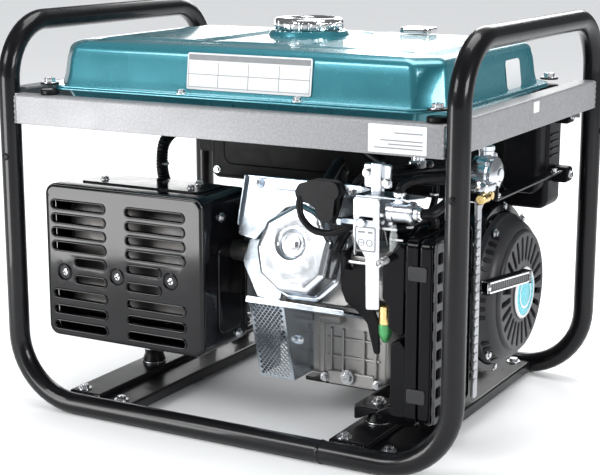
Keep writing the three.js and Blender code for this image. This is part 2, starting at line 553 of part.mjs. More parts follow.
// The control box at the back, with its panel facing +Y.
function controls() {
  const { left, right, bottom, top, face } = CONTROL;
  const plan = (inset) => shapeOf(chamfered(left + inset, right - inset, bottom + inset, top - inset, 10));
  const swell = (inset) => shapeOf(chamfered(226 + inset, 282 - inset, 288 + inset, 396 - inset, 8));
  const bulge = (inset) => prismY(swell(inset), 150 + inset, 184);
  const shell = join(prismY(plan(0), 178, face), bulge(0));
  const tab = (x0, x1, z) => box(x0, x1, 196, 220, z, z + 22);
  const tabs = TABS.flatMap((z) => [tab(right - 1, 309, z), tab(-309, left + 1, z)]);
  const hollow = cut(shell, prismY(plan(2), 180, face + 5), bulge(2));
  add('control_box', join(hollow, cut(join(...tabs), prismY(plan(1), 170, 240))), blackPlastic);

  const { x: sockets, z: socketZ, outer, bore } = SOCKETS;
  const plate = prismY(plan(1), face + GAP, 234);
  const wells = sockets.map((x) => rod('y', outer, 214, 241, [x, socketZ], 24));
  const holes = sockets.map((x) => rod('y', bore, 218, 250, [x, socketZ], 24));
  const breaker = cut(box(-96, -72, 232, 238, 322, 352), box(-92, -76, 235, 250, 326, 348));
  const ears = sockets.map((x) => box(x - 16, x + 16, 233, 240, socketZ + 22, socketZ + 27));
  add('control_panel', join(cut(join(plate, ...wells, ...ears), ...holes), breaker), greyPaint);

  for (const [side, x] of [['left', sockets[0]], ['right', sockets[1]]]) {
    const lid = join(rod('y', outer + 1, 241 + GAP, 244.4, [x, socketZ], 24),
      box(x - 12, x + 12, 241 + GAP, 244.4, socketZ, socketZ + 31),
      rod('x', 2.4, x - 12, x + 12, [243.5, socketZ + 31], 10));
    add(`socket_lid_${side}`, lid, blueLid);
  }
  const knob = join(rod('y', 12, 234 + GAP, 239, [-190, 345], 18), box(-193, -187, 238, 247, 335, 355));
  add('ignition_switch', knob, blackPlastic);
  add('breaker_lever', box(-90, -78, 237, 246, 333, 341), blackPlastic);
}

frameHoops();
tankBars();
crossRails();
engineMounts();
fuelTank();
fuelCapAndGauge();
muffler();
crankcase();
cylinderTop();
outletGuard();
rotatingParts();
blowerAndStarter();
fuelAndAir();
linesAndLeads();
gasRegulator();
alternator();
controls();

export default generator;
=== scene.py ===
"""Looks of an open-frame petrol generator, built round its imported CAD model.

Lengths are in millimetres until a mesh is made. +X is the recoil starter's side, -Y the engine's front and
+Z up. A patch is a pair of points and lists of faces. A flat shape lies in its own u and v, with w along its
outward side, and a facing carries u, v and w into the frame's X, Y and Z."""

import math
from functools import partial

import bpy
import numpy as np
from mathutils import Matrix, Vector
from mathutils.geometry import delaunay_2d_cdt


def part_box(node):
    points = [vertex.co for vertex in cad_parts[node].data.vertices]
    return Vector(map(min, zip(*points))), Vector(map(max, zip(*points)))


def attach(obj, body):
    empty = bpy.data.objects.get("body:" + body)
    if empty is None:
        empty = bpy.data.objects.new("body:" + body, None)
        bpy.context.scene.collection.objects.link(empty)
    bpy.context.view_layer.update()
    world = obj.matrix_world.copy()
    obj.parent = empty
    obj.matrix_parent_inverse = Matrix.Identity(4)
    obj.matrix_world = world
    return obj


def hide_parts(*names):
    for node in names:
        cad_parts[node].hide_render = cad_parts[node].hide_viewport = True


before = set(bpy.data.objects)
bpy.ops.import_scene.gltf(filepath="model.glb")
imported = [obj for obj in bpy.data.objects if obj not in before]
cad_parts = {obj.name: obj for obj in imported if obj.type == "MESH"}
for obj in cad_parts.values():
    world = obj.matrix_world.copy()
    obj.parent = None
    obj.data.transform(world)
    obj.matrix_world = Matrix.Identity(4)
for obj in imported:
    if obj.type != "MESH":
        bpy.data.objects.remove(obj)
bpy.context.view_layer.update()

MM = 0.001
TAU = 2 * math.pi
TUBE = 14.3  # frame tube radius
SEAM_X = 150.0  # where the frame loop is welded
LOWER_BEND, UPPER_BEND = 92.0, 78.0
CRANK = np.array([0.0, 62.0, 172.0])
CRANK_ORIGIN = (0.0, 62.0, 172.0)
SLANT = math.radians(18)
MAIN = "frame"
EYE = (0.9697, -1.7733, 0.6683)  # the camera, in metres
AIM = (-0.01365, 0, 0.22493)
LENS, SENSOR = 88.09, 36.0


class Span:
    """A CAD node's box, in millimetres."""

    def __init__(self, node):
        low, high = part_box(node)
        self.x0, self.y0, self.z0 = (1000 * c for c in low)
        self.x1, self.y1, self.z1 = (1000 * c for c in high)
        self.x, self.y, self.z = (self.x0 + self.x1) / 2, (self.y0 + self.y1) / 2, (self.z0 + self.z1) / 2


# ---- outlines ----

def ring(radius, sides=32, centre=(0, 0), start=0.0):
    """A circle as points: the centre plus the radius times the cosine and sine of equal steps."""
    turn = start + np.arange(sides) / sides * TAU
    return np.stack([centre[0] + radius * np.cos(turn), centre[1] + radius * np.sin(turn)], 1)


def rounded(corners, radius, arc=5, side=1):
    """A polygon, anticlockwise, with each corner replaced by an arc that touches both its edges. A corner
    may give its own radius as a third number. Each straight stretch is cut into side equal parts."""
    flat = np.array([c[:2] for c in corners], float)
    radii = np.array([c[2] if len(c) > 2 else radius for c in corners], float)
    back = np.roll(flat, 1, 0) - flat
    on = np.roll(flat, -1, 0) - flat
    back /= np.linalg.norm(back, axis=1)[:, None]
    on /= np.linalg.norm(on, axis=1)[:, None]
    half = np.arccos(np.clip((back * on).sum(1), -1, 1)) / 2
    reach = radii / np.tan(half)
    middle = back + on
    middle /= np.linalg.norm(middle, axis=1)[:, None]
    centre = flat + middle * (radii / np.sin(half))[:, None]
    first = flat + back * reach[:, None] - centre
    last = flat + on * reach[:, None] - centre
    swing = np.arctan2(first[:, 0] * last[:, 1] - first[:, 1] * last[:, 0], (first * last).sum(1))
    begin = np.arctan2(first[:, 1], first[:, 0])
    turn = begin[:, None] + swing[:, None] * np.linspace(0, 1, arc + 1)
    arcs = centre[:, None] + radii[:, None, None] * np.stack([np.cos(turn), np.sin(turn)], 2)
    if side > 1:
        follow = np.roll(arcs[:, 0], -1, 0)
        share = (np.arange(1, side) / side)[None, :, None]
        straight = arcs[:, -1][:, None] * (1 - share) + follow[:, None] * share
        arcs = np.concatenate([arcs, straight], 1)
    return arcs.reshape(-1, 2)


def oblong(u0, u1, v0, v1, radius, arc=5, side=1):
    """A rectangle with round corners."""
    return rounded([(u0, v0), (u1, v0), (u1, v1), (u0, v1)], radius, arc, side)


def inset(outline, depth):
    """An outline moved inwards by depth, square to its edges, with mitred corners."""
    before = outline - np.roll(outline, 1, 0)
    after = np.roll(outline, -1, 0) - outline
    before = before / np.maximum(np.linalg.norm(before, axis=1), 1e-9)[:, None]
    after = after / np.maximum(np.linalg.norm(after, axis=1), 1e-9)[:, None]
    n1 = np.stack([before[:, 1], -before[:, 0]], 1)
    n2 = np.stack([after[:, 1], -after[:, 0]], 1)
    mitre = (n1 + n2) / np.maximum(1 + (n1 * n2).sum(1), 0.3)[:, None]
    return outline - depth * mitre


def inside(points, outline):
    """Which points an outline holds, by the odd count of its edges that a level ray from each one meets."""
    a, b = outline, np.roll(outline, -1, 0)
    x, y = points[:, 0][:, None], points[:, 1][:, None]
    crosses = (a[:, 1] > y) != (b[:, 1] > y)
    rise = np.where(b[:, 1] == a[:, 1], 1e-12, b[:, 1] - a[:, 1])
    reach = a[:, 0] + (y - a[:, 1]) / rise * (b[:, 0] - a[:, 0])
    return (crosses & (x < reach)).sum(1) % 2 == 1


def triangles(outline, holes, grid=()):
    """Triangles over the region inside an outline and outside the holes; grid gives more points to use
    within it."""
    loops = [outline, *holes]
    points = np.vstack([*loops, *([grid] if len(grid) else [])])
    edges, base = [], 0
    for loop in loops:
        place = np.arange(len(loop))
        edges += np.stack([base + place, base + (place + 1) % len(loop)], 1).tolist()
        base += len(loop)
    found = delaunay_2d_cdt([Vector(p) for p in points], edges, [], 0, 1e-5)
    index = np.array([same[0] for same in found[3]])[np.array(found[2])]
    centres = points[index].mean(1)
    keep = inside(centres, outline)
    for hole in holes:
        keep &= ~inside(centres, hole)
    index = index[keep]
    one, two = points[index[:, 1]] - points[index[:, 0]], points[index[:, 2]] - points[index[:, 0]]
    wrong = one[:, 0] * two[:, 1] < one[:, 1] * two[:, 0]
    index[wrong] = index[wrong][:, ::-1]
    return points, index


# ---- patches ----

def join(*patches):
    """Several patches as one, their points listed one after another."""
    points, faces, base = [], [], 0
    for own_points, own_faces in patches:
        points.append(own_points)
        faces += [f + base for f in own_faces]
        base += len(own_points)
    return np.vstack(points), faces


def skin(rings, ends=True, loop=False):
    """Rings of equal count, each joined to the next by four-sided faces, with one flat face at each end. In
    a loop the last ring joins the first."""
    count, around = rings.shape[:2]
    row = np.arange(count if loop else count - 1)[:, None]
    place = np.arange(around)[None]
    beside, above = (place + 1) % around, (row + 1) % count
    quads = np.stack([row * around + place, row * around + beside, above * around + beside,
        above * around + place], 2)
    faces = [quads.reshape(-1, 4)]
    if ends and not loop:
        faces += [np.arange(around)[::-1][None], (np.arange(around) + (count - 1) * around)[None]]
    return rings.reshape(-1, 3), faces


def stacked(outlines, heights, **kw):
    """Outlines of equal count, each at its own height, as a skin."""
    rings = [np.column_stack([o, np.full(len(o), float(h))]) for o, h in zip(outlines, heights)]
    return skin(np.array(rings), **kw)


def slab(outline, w0, w1, edge=1.0, steps=3):
    """An outline's prism from w0 to w1 whose rims are quarter rounds: the inset is the edge times one minus
    the sine, and the height the edge times one minus the cosine, of steps up to a quarter turn."""
    turn = np.linspace(0, math.pi / 2, steps + 1)
    depth, rise = edge * (1 - np.sin(turn)), edge * (1 - np.cos(turn))
    outlines = [inset(outline, d) for d in depth] + [inset(outline, d) for d in depth[::-1]]
    return stacked(outlines, [*(w0 + rise), *(w1 - rise[::-1])])


def turned(profile, sides=32, flute=None):
    """A profile of radius and height pairs spun about w. A flute function gives each turn's share of the
    radius."""
    profile = np.array(profile, float)
    turn = np.arange(sides) / sides * TAU
    radius = profile[:, :1] * (1 if flute is None else flute(turn)[None])
    radius = np.broadcast_to(radius, (len(profile), sides))
    rings = np.stack([radius * np.cos(turn), radius * np.sin(turn), np.repeat(profile[:, 1:], sides, 1)], 2)
    return skin(rings)


def pill(radius, w0, w1, edge=1.0, sides=28, steps=3):
    """A short cylinder with quarter-round rims."""
    return slab(ring(radius, sides), w0, w1, edge, steps)


def washer(outer, inner, w0, w1, edge=0.4, sides=28):
    """A flat ring with softened rims, closed through its bore."""
    profile = [(inner, w0), (outer - edge, w0), (outer, w0 + edge), (outer, w1 - edge), (outer - edge, w1),
        (inner, w1)]
    turn = np.arange(sides) / sides * TAU
    rings = [np.stack([r * np.cos(turn), r * np.sin(turn), np.full(sides, float(h))], 1) for r, h in profile]
    return skin(np.array(rings), loop=True)


def hexagon(across):
    """A hexagon of that width across its flats."""
    return ring(across / math.sqrt(3), 6, start=math.pi / 6)


def hex_bolt(across, w0, height, flange=0.0):
    """A hexagon head with softened rims, over a round flange where one is given, with a marked round on its
    top."""
    head = slab(rounded(hexagon(across), across * 0.06, 2), w0, w0 + height, across * 0.07, 2)
    top = pill(across * 0.36, w0 + height - 0.3, w0 + height + 0.3, 0.25, 18, 2)
    if not flange:
        return join(head, top)
    return join(head, top, pill(flange, w0 - 1.2, w0 + 0.6, 0.5, 24, 2))


def pan_screw(radius, w0, height):
    """A domed screw head, its height a quarter ellipse of the radius, and a cross that stands a little above
    the dome where the recess would be; the callers give the cross a near-black finish as painted shade for
    the recess.
    """
    turn = np.linspace(0, math.pi / 2 * 0.93, 7)
    dome = turned(np.stack([radius * np.cos(turn), w0 + height * np.sin(turn)], 1), 24)
    arm = radius * 0.5
    bar = oblong(-arm, arm, -radius * 0.11, radius * 0.11, radius * 0.05, 2)
    cross = [slab(b, w0 + height * 0.8, w0 + height * 1.02, 0.08, 1) for b in (bar, bar[:, ::-1][::-1])]
    return dome, join(*cross)


def pierced(outline, holes, w, thick, edge=1.0, lip=1.0, depth=None, grid=(), skirt=None, steps=3):
    """A sheet with holes. Its outer side lies at w. Each hole's rim is a quarter round of radius lip that
    runs on inwards to depth, and the sheet's own rim is one of radius edge that runs on to skirt. The inner
    side lies at the thickness below."""
    depth = thick if depth is None else depth
    skirt = thick if skirt is None else skirt
    turn = np.linspace(0, math.pi / 2, steps + 1)
    face, index = triangles(inset(outline, edge), [inset(h[::-1], lip)[::-1] for h in holes], grid)
    patches = [(np.column_stack([face, np.full(len(face), w)]), [index])]

    def rim(loop, radius, reach, outward):
        sign, wall = (1 if outward else -1), min(thick, radius, 1.2)
        shape = [(sign * radius * (1 - math.sin(t)), w - radius * (1 - math.cos(t))) for t in turn]
        shape += [(0.0, w - reach), (sign * wall, w - reach)]
        shape += [(sign * wall, w - thick)] if reach > thick else []
        rings = [np.column_stack([inset(loop, d), np.full(len(loop), h)]) for d, h in shape]
        return skin(np.array(rings)[::-1 if outward else 1], ends=False)

    patches.append(rim(outline, edge, max(skirt, edge), True))
    for hole in holes:
        points, faces = rim(hole, lip, max(depth, lip), False)
        patches.append((points, faces))
    wall, gap = min(thick, edge, 1.2), min(thick, lip, 1.2)
    under, back = triangles(inset(outline, wall), [inset(h[::-1], gap)[::-1] for h in holes], grid)
    patches.append((np.column_stack([under, np.full(len(under), w - thick)]), [back[:, ::-1]]))
    return join(*patches)


# ---- paths ----

def bends(corners, radius, arc=12):
    """A route through corners whose turns are arcs of a bend radius, in equal steps of angle."""
    corners = np.array(corners, float)
    route = [corners[:1]]
    for before, corner, after in zip(corners[:-2], corners[1:-1], corners[2:]):
        back = (before - corner) / np.linalg.norm(before - corner)
        on = (after - corner) / np.linalg.norm(after - corner)
        half = math.acos(float(np.clip(back @ on, -1, 1))) / 2
        centre = corner + (back + on) / np.linalg.norm(back + on) * radius / math.sin(half)
        first = corner + back * radius / math.tan(half) - centre
        last = corner + on * radius / math.tan(half) - centre
        turn, share = math.pi - 2 * half, np.linspace(0, 1, arc + 1)[:, None]
        sweep = np.sin((1 - share) * turn) * first + np.sin(share * turn) * last
        route.append(centre + sweep / math.sin(turn))
    return np.vstack([*route, corners[-1:]])


def flowing(points, steps=8):
    """A smooth curve through points: each stretch is the cubic whose slope at a point is half the step
    across it."""
    p = np.array(points, float)
    p = np.vstack([2 * p[0] - p[1], p, 2 * p[-1] - p[-2]])
    t = (np.arange(steps) / steps)[None, :, None]
    a, b, c, d = (p[i:len(p) - 3 + i][:, None] for i in range(4))
    curve = b + t * ((c - a) / 2 + t * ((2 * a - 5 * b + 4 * c - d) / 2 + t * (3 * (b - c) + d - a) / 2))
    return np.vstack([curve.reshape(-1, 3), p[-2:-1]])


def carried(path, section, scale=None, loop=False):
    """A closed section carried along a path and kept square to it, turning from point to point by the least
    angle."""
    path = np.array(path, float)
    ahead = (np.roll(path, -1, 0) - np.roll(path, 1, 0)) if loop else np.gradient(path, axis=0)
    ahead /= np.linalg.norm(ahead, axis=1)[:, None]
    across = np.cross(ahead[0], [0, 0, 1] if abs(ahead[0][2]) < 0.9 else [1, 0, 0])
    sides = []
    for direction in ahead:
        across = across - direction * (across @ direction)
        across = across / np.linalg.norm(across)
        sides.append(across)
    first = np.array(sides)
    second = np.cross(ahead, first)
    size = np.ones(len(path)) if scale is None else np.asarray(scale, float)
    u, v = section[:, 0][None, :, None], section[:, 1][None, :, None]
    rings = path[:, None] + size[:, None, None] * (first[:, None] * u + second[:, None] * v)
    return skin(rings, loop=loop)


def hose(points, radius, steps=8, sides=16, ribs=0.0, pitch=4.0):
    """A round hose through points. Ribs swell its radius by a cosine of the length along it."""
    path = flowing(points, steps)
    if not ribs:
        return carried(path, ring(radius, sides))
    reach = np.concatenate([[0], np.cumsum(np.linalg.norm(np.diff(path, axis=0), axis=1))])
    fine = np.arange(0, reach[-1], pitch / 5)
    path = np.stack([np.interp(fine, reach, path[:, i]) for i in range(3)], 1)
    return carried(path, ring(radius, sides), 1 + ribs * np.cos(fine / pitch * TAU))


def coil(radius, wire, turns, w0, w1, sides=8):
    """A compression spring about w: its wire follows a helix that rises evenly."""
    share = np.linspace(0, 1, int(turns * 16) + 1)
    path = np.stack([radius * np.cos(share * turns * TAU), radius * np.sin(share * turns * TAU),
        w0 + share * (w1 - w0)], 1)
    return carried(path, ring(wire, sides))


# ---- facings ----

SIDES = {
    "front": ((1, 0, 0), (0, 0, 1)), "back": ((-1, 0, 0), (0, 0, 1)), "right": ((0, 1, 0), (0, 0, 1)),
    "left": ((0, -1, 0), (0, 0, 1)), "top": ((1, 0, 0), (0, 1, 0)), "under": ((1, 0, 0), (0, -1, 0)),
    "cylinder": ((1, 0, 0), (0, math.sin(SLANT), math.cos(SLANT))),
}


def facing(side, patch, at=(0, 0, 0), spin=0.0):
    """A patch carried from u, v and w to the frame: turned by spin in its own plane, laid on a side, moved
    to at. A side is a name, or the directions of u and v."""
    along, up = (np.array(v, float) for v in SIDES.get(side, side))
    out = np.cross(along, up)
    c, s = math.cos(spin), math.sin(spin)
    points, faces = patch
    u, v = points[:, 0] * c - points[:, 1] * s, points[:, 0] * s + points[:, 1] * c
    return np.array(at, float) + u[:, None] * along + v[:, None] * up + points[:, 2:3] * out, faces


to_front, to_back, to_right, to_left, to_top, to_under = (
    partial(facing, side) for side in ("front", "back", "right", "left", "top", "under"))


def leaning(patch):
    """A patch in the cylinder's own frame: v square to its axis, and w out along it from the crankshaft."""
    return facing("cylinder", patch, CRANK_ORIGIN)


def copies(patch, places):
    """The same patch at each of some places."""
    return join(*[(patch[0] + np.array(p, float), patch[1]) for p in places])


# ---- meshes ----

def build(name, patch, material, body=MAIN, replaces=(), soften=32, slot=None):
    """A patch as an object that rides on a body, smooth but for edges sharper than soften degrees."""
    points, faces = patch
    _, first, same = np.unique(np.round(points, 4), axis=0, return_index=True, return_inverse=True)
    points, faces = points[first], [same.ravel()[f] for f in faces]
    mesh = bpy.data.meshes.new(name)
    corners = np.concatenate([f.ravel() for f in faces]).astype(np.int32)
    counts = np.concatenate([np.full(len(f), f.shape[1]) for f in faces])
    mesh.vertices.add(len(points))
    mesh.vertices.foreach_set("co", (points * MM).astype(np.float32).ravel())
    mesh.loops.add(len(corners))
    mesh.loops.foreach_set("vertex_index", corners)
    mesh.polygons.add(len(counts))
    mesh.polygons.foreach_set("loop_start", np.concatenate([[0], np.cumsum(counts)[:-1]]).astype(np.int32))
    mesh.update(calc_edges=True)
    mesh.validate()
    mesh.polygons.foreach_set("use_smooth", np.ones(len(mesh.polygons), bool))
    mesh.set_sharp_from_angle(angle=math.radians(soften))
    mesh.materials.append(material)
    piece = bpy.data.objects.new(name, mesh)
    bpy.context.scene.collection.objects.link(piece)
    even = piece.modifiers.new("even_shading", "WEIGHTED_NORMAL")
    even.keep_sharp = True
    even.weight = 80
    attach(piece, body)
    slot = slot or SLOTS[material]
    if replaces:
        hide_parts(*replaces)
    return piece


# ---- materials ----

class Finish:
    """A material under construction, with short ways to add and join its nodes."""

    def __init__(self, name):
        self.material = bpy.data.materials.new(name)
        self.material.use_nodes = True
        self.tree = self.material.node_tree
        self.surface = self.tree.nodes["Principled BSDF"]
        self.coordinates = self.tree.nodes.new("ShaderNodeTexCoord").outputs["Object"]

    def node(self, kind, values=(), **settings):
        """A node, with its settings, and its inputs set or joined by name or place."""
        made = self.tree.nodes.new("ShaderNode" + kind)
        for key, value in settings.items():
            setattr(made, key, value)
        for key, value in dict(values).items():
            self.put(made.inputs[key], value)
        return made

    def put(self, socket, value):
        if isinstance(value, bpy.types.NodeSocket):
            self.tree.links.new(value, socket)
        else:
            socket.default_value = value

    def stretched(self, scale):
        """The object's coordinates, scaled along each axis."""
        return self.node("Mapping", {"Vector": self.coordinates, "Scale": scale}).outputs[0]

    def noise(self, size, detail=3.0, stretch=(1, 1, 1)):
        """Noise whose blots are about size millimetres across."""
        return self.node("TexNoise", {"Vector": self.stretched(stretch), "Scale": 1000 / size,
            "Detail": detail}).outputs[0]

    def between(self, factor, low, high, start=0.3, stop=0.7):
        """low to high as the factor goes from start to stop."""
        return self.node("MapRange", {0: factor, 1: start, 2: stop, 3: low, 4: high}).outputs[0]

    def mix(self, factor, one, two):
        made = self.node("Mix", data_type="RGBA")
        self.put(made.inputs[0], factor)
        self.put(made.inputs[6], (*one, 1) if isinstance(one, tuple) else one)
        self.put(made.inputs[7], (*two, 1) if isinstance(two, tuple) else two)
        return made.outputs[2]

    def bump(self, height, strength, distance=0.4, under=None):
        made = self.node("Bump", {"Height": height, "Strength": strength, "Distance": distance * MM})
        if under is not None:
            self.put(made.inputs["Normal"], under)
        return made.outputs[0]


def tint(color, share):
    return tuple(min(1.0, c * share) for c in color)


def finish(name, color, rough, metal=0.0, vary=0.12, patch=40.0, spread=0.07, grain=0.9, relief=0.12,
        stretch=(1, 1, 1),
           coat=0.0, worn=None, specular=0.5, other=None):
    """A finish whose colour drifts slowly between two tints, whose gloss has smudges of half that size, and
    whose grain is a fine bump. Worn edges take the second colour where the surface's corners stand out."""
    f = Finish(name)
    drift = f.between(f.noise(patch), 0.0, 1.0)
    shade = f.mix(drift, tint(color, 1 - vary), other or tint(color, 1 + vary))
    smudge = f.between(f.noise(patch / 2, 5.0, stretch), rough - spread, rough + spread)
    if worn:
        corner = f.node("NewGeometry").outputs["Pointiness"]
        chips = f.between(f.noise(3.0, 5.0), 0.35, 1.0, 0.42, 0.6)
        edge = f.between(corner, 0.0, 1.0, 0.535, 0.6)
        share = f.node("Math", {0: edge, 1: chips}, operation="MULTIPLY").outputs[0]
        shade = f.mix(share, shade, worn)
    f.put(f.surface.inputs["Base Color"], shade)
    f.put(f.surface.inputs["Roughness"], smudge)
    f.put(f.surface.inputs["Normal"], f.bump(f.noise(grain, 3.0, stretch), relief))
    f.surface.inputs["Metallic"].default_value = metal
    f.surface.inputs["Coat Weight"].default_value = coat
    f.surface.inputs["Coat Roughness"].default_value = 0.06
    f.surface.inputs["Specular IOR Level"].default_value = specular
    return f.material


def tank_enamel():
    """Teal enamel: fine bright flakes under a clear coat, a slow drift in depth, and a faint orange-peel
    bump."""
    f = Finish("tank_enamel")
    flakes = f.node("TexVoronoi", {"Vector": f.coordinates, "Scale": 2600.0}).outputs["Color"]
    bright = f.node("SeparateColor", {0: flakes}).outputs[0]
    drift = f.between(f.noise(120.0), 0.0, 1.0)
    base = f.mix(drift, (0.022, 0.175, 0.22), (0.028, 0.2, 0.25))
    base = f.mix(f.between(bright, 0.0, 0.4, 0.55, 1.0), base, (0.1, 0.36, 0.42))
    f.put(f.surface.inputs["Base Color"], base)
    f.put(f.surface.inputs["Roughness"], f.between(f.noise(60.0, 2.0), 0.25, 0.3))
    peel = f.bump(f.noise(7.0, 1.0), 0.025, 0.5)
    f.put(f.surface.inputs["Normal"], f.bump(bright, 0.02, 0.2, peel))
    f.surface.inputs["Metallic"].default_value = 0.45
    f.surface.inputs["Coat Weight"].default_value = 0.6
    f.surface.inputs["Coat Roughness"].default_value = 0.05
    return f.material


def ribbed_grip():
    """A moulded insert: shallow crossed waves with a finer grain."""
    f = Finish("grip_insert")
    waves = [f.node("TexWave", {"Vector": f.stretched(s), "Scale": 260.0, "Distortion": 2.0,
        "Detail": 2.0}).outputs[1] for s in ((1, 1, 1), (1, 1, -1))]
    crossed = f.node("Math", {0: waves[0], 1: waves[1]}, operation="MULTIPLY").outputs[0]
    f.put(f.surface.inputs["Base Color"], f.mix(crossed, (0.02, 0.021, 0.022), (0.13, 0.135, 0.14)))
    f.put(f.surface.inputs["Roughness"], f.between(crossed, 0.5, 0.25))
    f.put(f.surface.inputs["Normal"], f.bump(crossed, 0.5, 0.6))
    return f.material


def laminated(name, color, pitch, axis):
    """Stacked sheets or wound wire: fine bands across an axis, darker in the gaps, with a drift along
    them."""
    f = Finish(name)
    bands = f.node("TexWave", {"Vector": f.coordinates, "Scale": 314.0 / pitch, "Distortion": 0.4},
        bands_direction=axis).outputs[1]
    drift = f.mix(f.between(f.noise(25.0), 0.0, 1.0), tint(color, 0.8), tint(color, 1.15))
    f.put(f.surface.inputs["Base Color"], f.mix(f.between(bands, 0.0, 1.0, 0.0, 0.4), tint(color, 0.3),
        drift))
    f.put(f.surface.inputs["Roughness"], f.between(f.noise(8.0), 0.35, 0.55))
    f.put(f.surface.inputs["Normal"], f.bump(bands, 0.5, 0.5))
    f.surface.inputs["Metallic"].default_value = 0.85
    return f.material


def clear_plastic():
    """Clear moulded plastic with a faint swirl in its gloss."""
    f = Finish("clear_plastic")
    f.put(f.surface.inputs["Base Color"], f.mix(f.noise(15.0), (0.8, 0.84, 0.84), (0.92, 0.94, 0.94)))
    f.put(f.surface.inputs["Roughness"], f.between(f.noise(6.0), 0.08, 0.2))
    f.put(f.surface.inputs["Normal"], f.bump(f.noise(4.0), 0.05))
    f.surface.inputs["Transmission Weight"].default_value = 0.75
    f.surface.inputs["IOR"].default_value = 1.4
    return f.material


def ground():
    """Pale matt floor with a faint mottle."""
    f = Finish("pale_floor")
    f.put(f.surface.inputs["Base Color"], f.mix(f.noise(300.0), (0.9, 0.905, 0.91), (0.93, 0.93, 0.93)))
    f.put(f.surface.inputs["Roughness"], f.between(f.noise(80.0), 0.75, 0.85))
    f.put(f.surface.inputs["Normal"], f.bump(f.noise(8.0), 0.02))
    return f.material


FRAME_PAINT = finish("frame_paint", (0.004, 0.004, 0.005), 0.3, 0.0, 0.2, 60.0, 0.03, 2.4, 0.04,
    worn=(0.02, 0.02, 0.022), specular=0.14, coat=0.28)
BAR_PAINT = finish("bar_paint", (0.17, 0.17, 0.178), 0.4, 0.15, 0.05, 90.0, 0.04, 1.8, 0.05,
    worn=(0.4, 0.4, 0.41))
TANK_PAINT = tank_enamel()
GLOSS_ENAMEL = finish("gloss_enamel", (0.003, 0.003, 0.004), 0.1, 0.0, 0.3, 50.0, 0.03, 6.0, 0.04, coat=0.05,
    specular=0.26)
CHROME = finish("chrome", (0.86, 0.87, 0.88), 0.07, 1.0, 0.05, 30.0, 0.03, 2.5, 0.03)
ZINC = finish("zinc_plate", (0.56, 0.62, 0.68), 0.22, 1.0, 0.05, 30.0, 0.05, 2.2, 0.04)
BOLT_ZINC = finish("bolt_zinc", (0.7, 0.71, 0.73), 0.27, 1.0, 0.12, 5.0, 0.08, 0.8, 0.12)
CAST = finish("cast_aluminium", (0.39, 0.38, 0.37), 0.46, 0.7, 0.05, 25.0, 0.06, 0.9, 0.2)
BRIGHT_CAST = finish("bright_cast", (0.74, 0.77, 0.81), 0.2, 0.95, 0.03, 40.0, 0.04, 1.2, 0.05)
STEEL = finish("machined_steel", (0.5, 0.5, 0.51), 0.3, 1.0, 0.1, 20.0, 0.06, 0.7, 0.15, (1, 12, 12))
HOT_STEEL = finish("exhaust_steel", (0.11, 0.11, 0.11), 0.45, 0.9, 0.15, 30.0, 0.08, 1.5, 0.2,
    other=(0.1, 0.095, 0.09))
BRASS = finish("brass", (0.75, 0.55, 0.24), 0.25, 1.0, 0.12, 8.0, 0.08, 0.8, 0.1)
GREEN_ANODISE = finish("green_tip", (0.08, 0.35, 0.12), 0.35, 0.4, 0.15, 5.0, 0.08, 0.8, 0.1)
WHITE_PLATE = finish("white_plate", (0.62, 0.64, 0.67), 0.22, 0.8, 0.06, 20.0, 0.06, 1.5, 0.06)
LABEL = finish("blank_label", (0.66, 0.67, 0.68), 0.4, 0.0, 0.03, 25.0, 0.05, 1.0, 0.04)
LABEL_METAL = finish("galvanised_strip", (0.42, 0.43, 0.45), 0.35, 0.85, 0.08, 18.0, 0.06, 1.4, 0.1)
LABEL_GREY = finish("label_ink", (0.2, 0.21, 0.22), 0.45, 0.0, 0.08, 10.0, 0.05, 0.9, 0.05)
BLACK_PLASTIC = finish("moulded_black", (0.005, 0.005, 0.006), 0.4, 0.0, 0.18, 35.0, 0.05, 0.9, 0.15,
    specular=0.1)
GLOSS_PLASTIC = finish("gloss_black", (0.003, 0.003, 0.004), 0.12, 0.0, 0.2, 60.0, 0.03, 9.0, 0.05,
    specular=0.14)
GREY_PLASTIC = finish("moulded_grey", (0.03, 0.03, 0.033), 0.36, 0.1, 0.12, 30.0, 0.06, 0.8, 0.2,
    worn=(0.1, 0.1, 0.105), specular=0.3)
BLUE_PLASTIC = finish("moulded_blue", (0.02, 0.09, 0.36), 0.38, 0.0, 0.12, 20.0, 0.06, 0.8, 0.2)
ORANGE_PLASTIC = finish("moulded_orange", (0.75, 0.17, 0.02), 0.4, 0.0, 0.1, 15.0, 0.06, 0.8, 0.2)
RED_PLASTIC = finish("moulded_red", (0.6, 0.03, 0.02), 0.35, 0.0, 0.1, 15.0, 0.06, 0.8, 0.2)
RUBBER = finish("rubber", (0.006, 0.006, 0.007), 0.34, 0.0, 0.25, 12.0, 0.08, 0.6, 0.3, specular=0.16)
PANEL_PAINT = finish("panel_paint", (0.045, 0.045, 0.05), 0.42, 0.0, 0.12, 50.0, 0.05, 0.8, 0.5)
BADGE = finish("badge_teal", (0.03, 0.42, 0.5), 0.28, 0.2, 0.1, 12.0, 0.05, 1.0, 0.06, coat=0.4)
GRIP = ribbed_grip()
WINDING = laminated("copper_winding", (0.62, 0.27, 0.12), 1.2, "X")
LAMINATION = laminated("steel_lamination", (0.34, 0.35, 0.36), 1.0, "X")
CLEAR = clear_plastic()

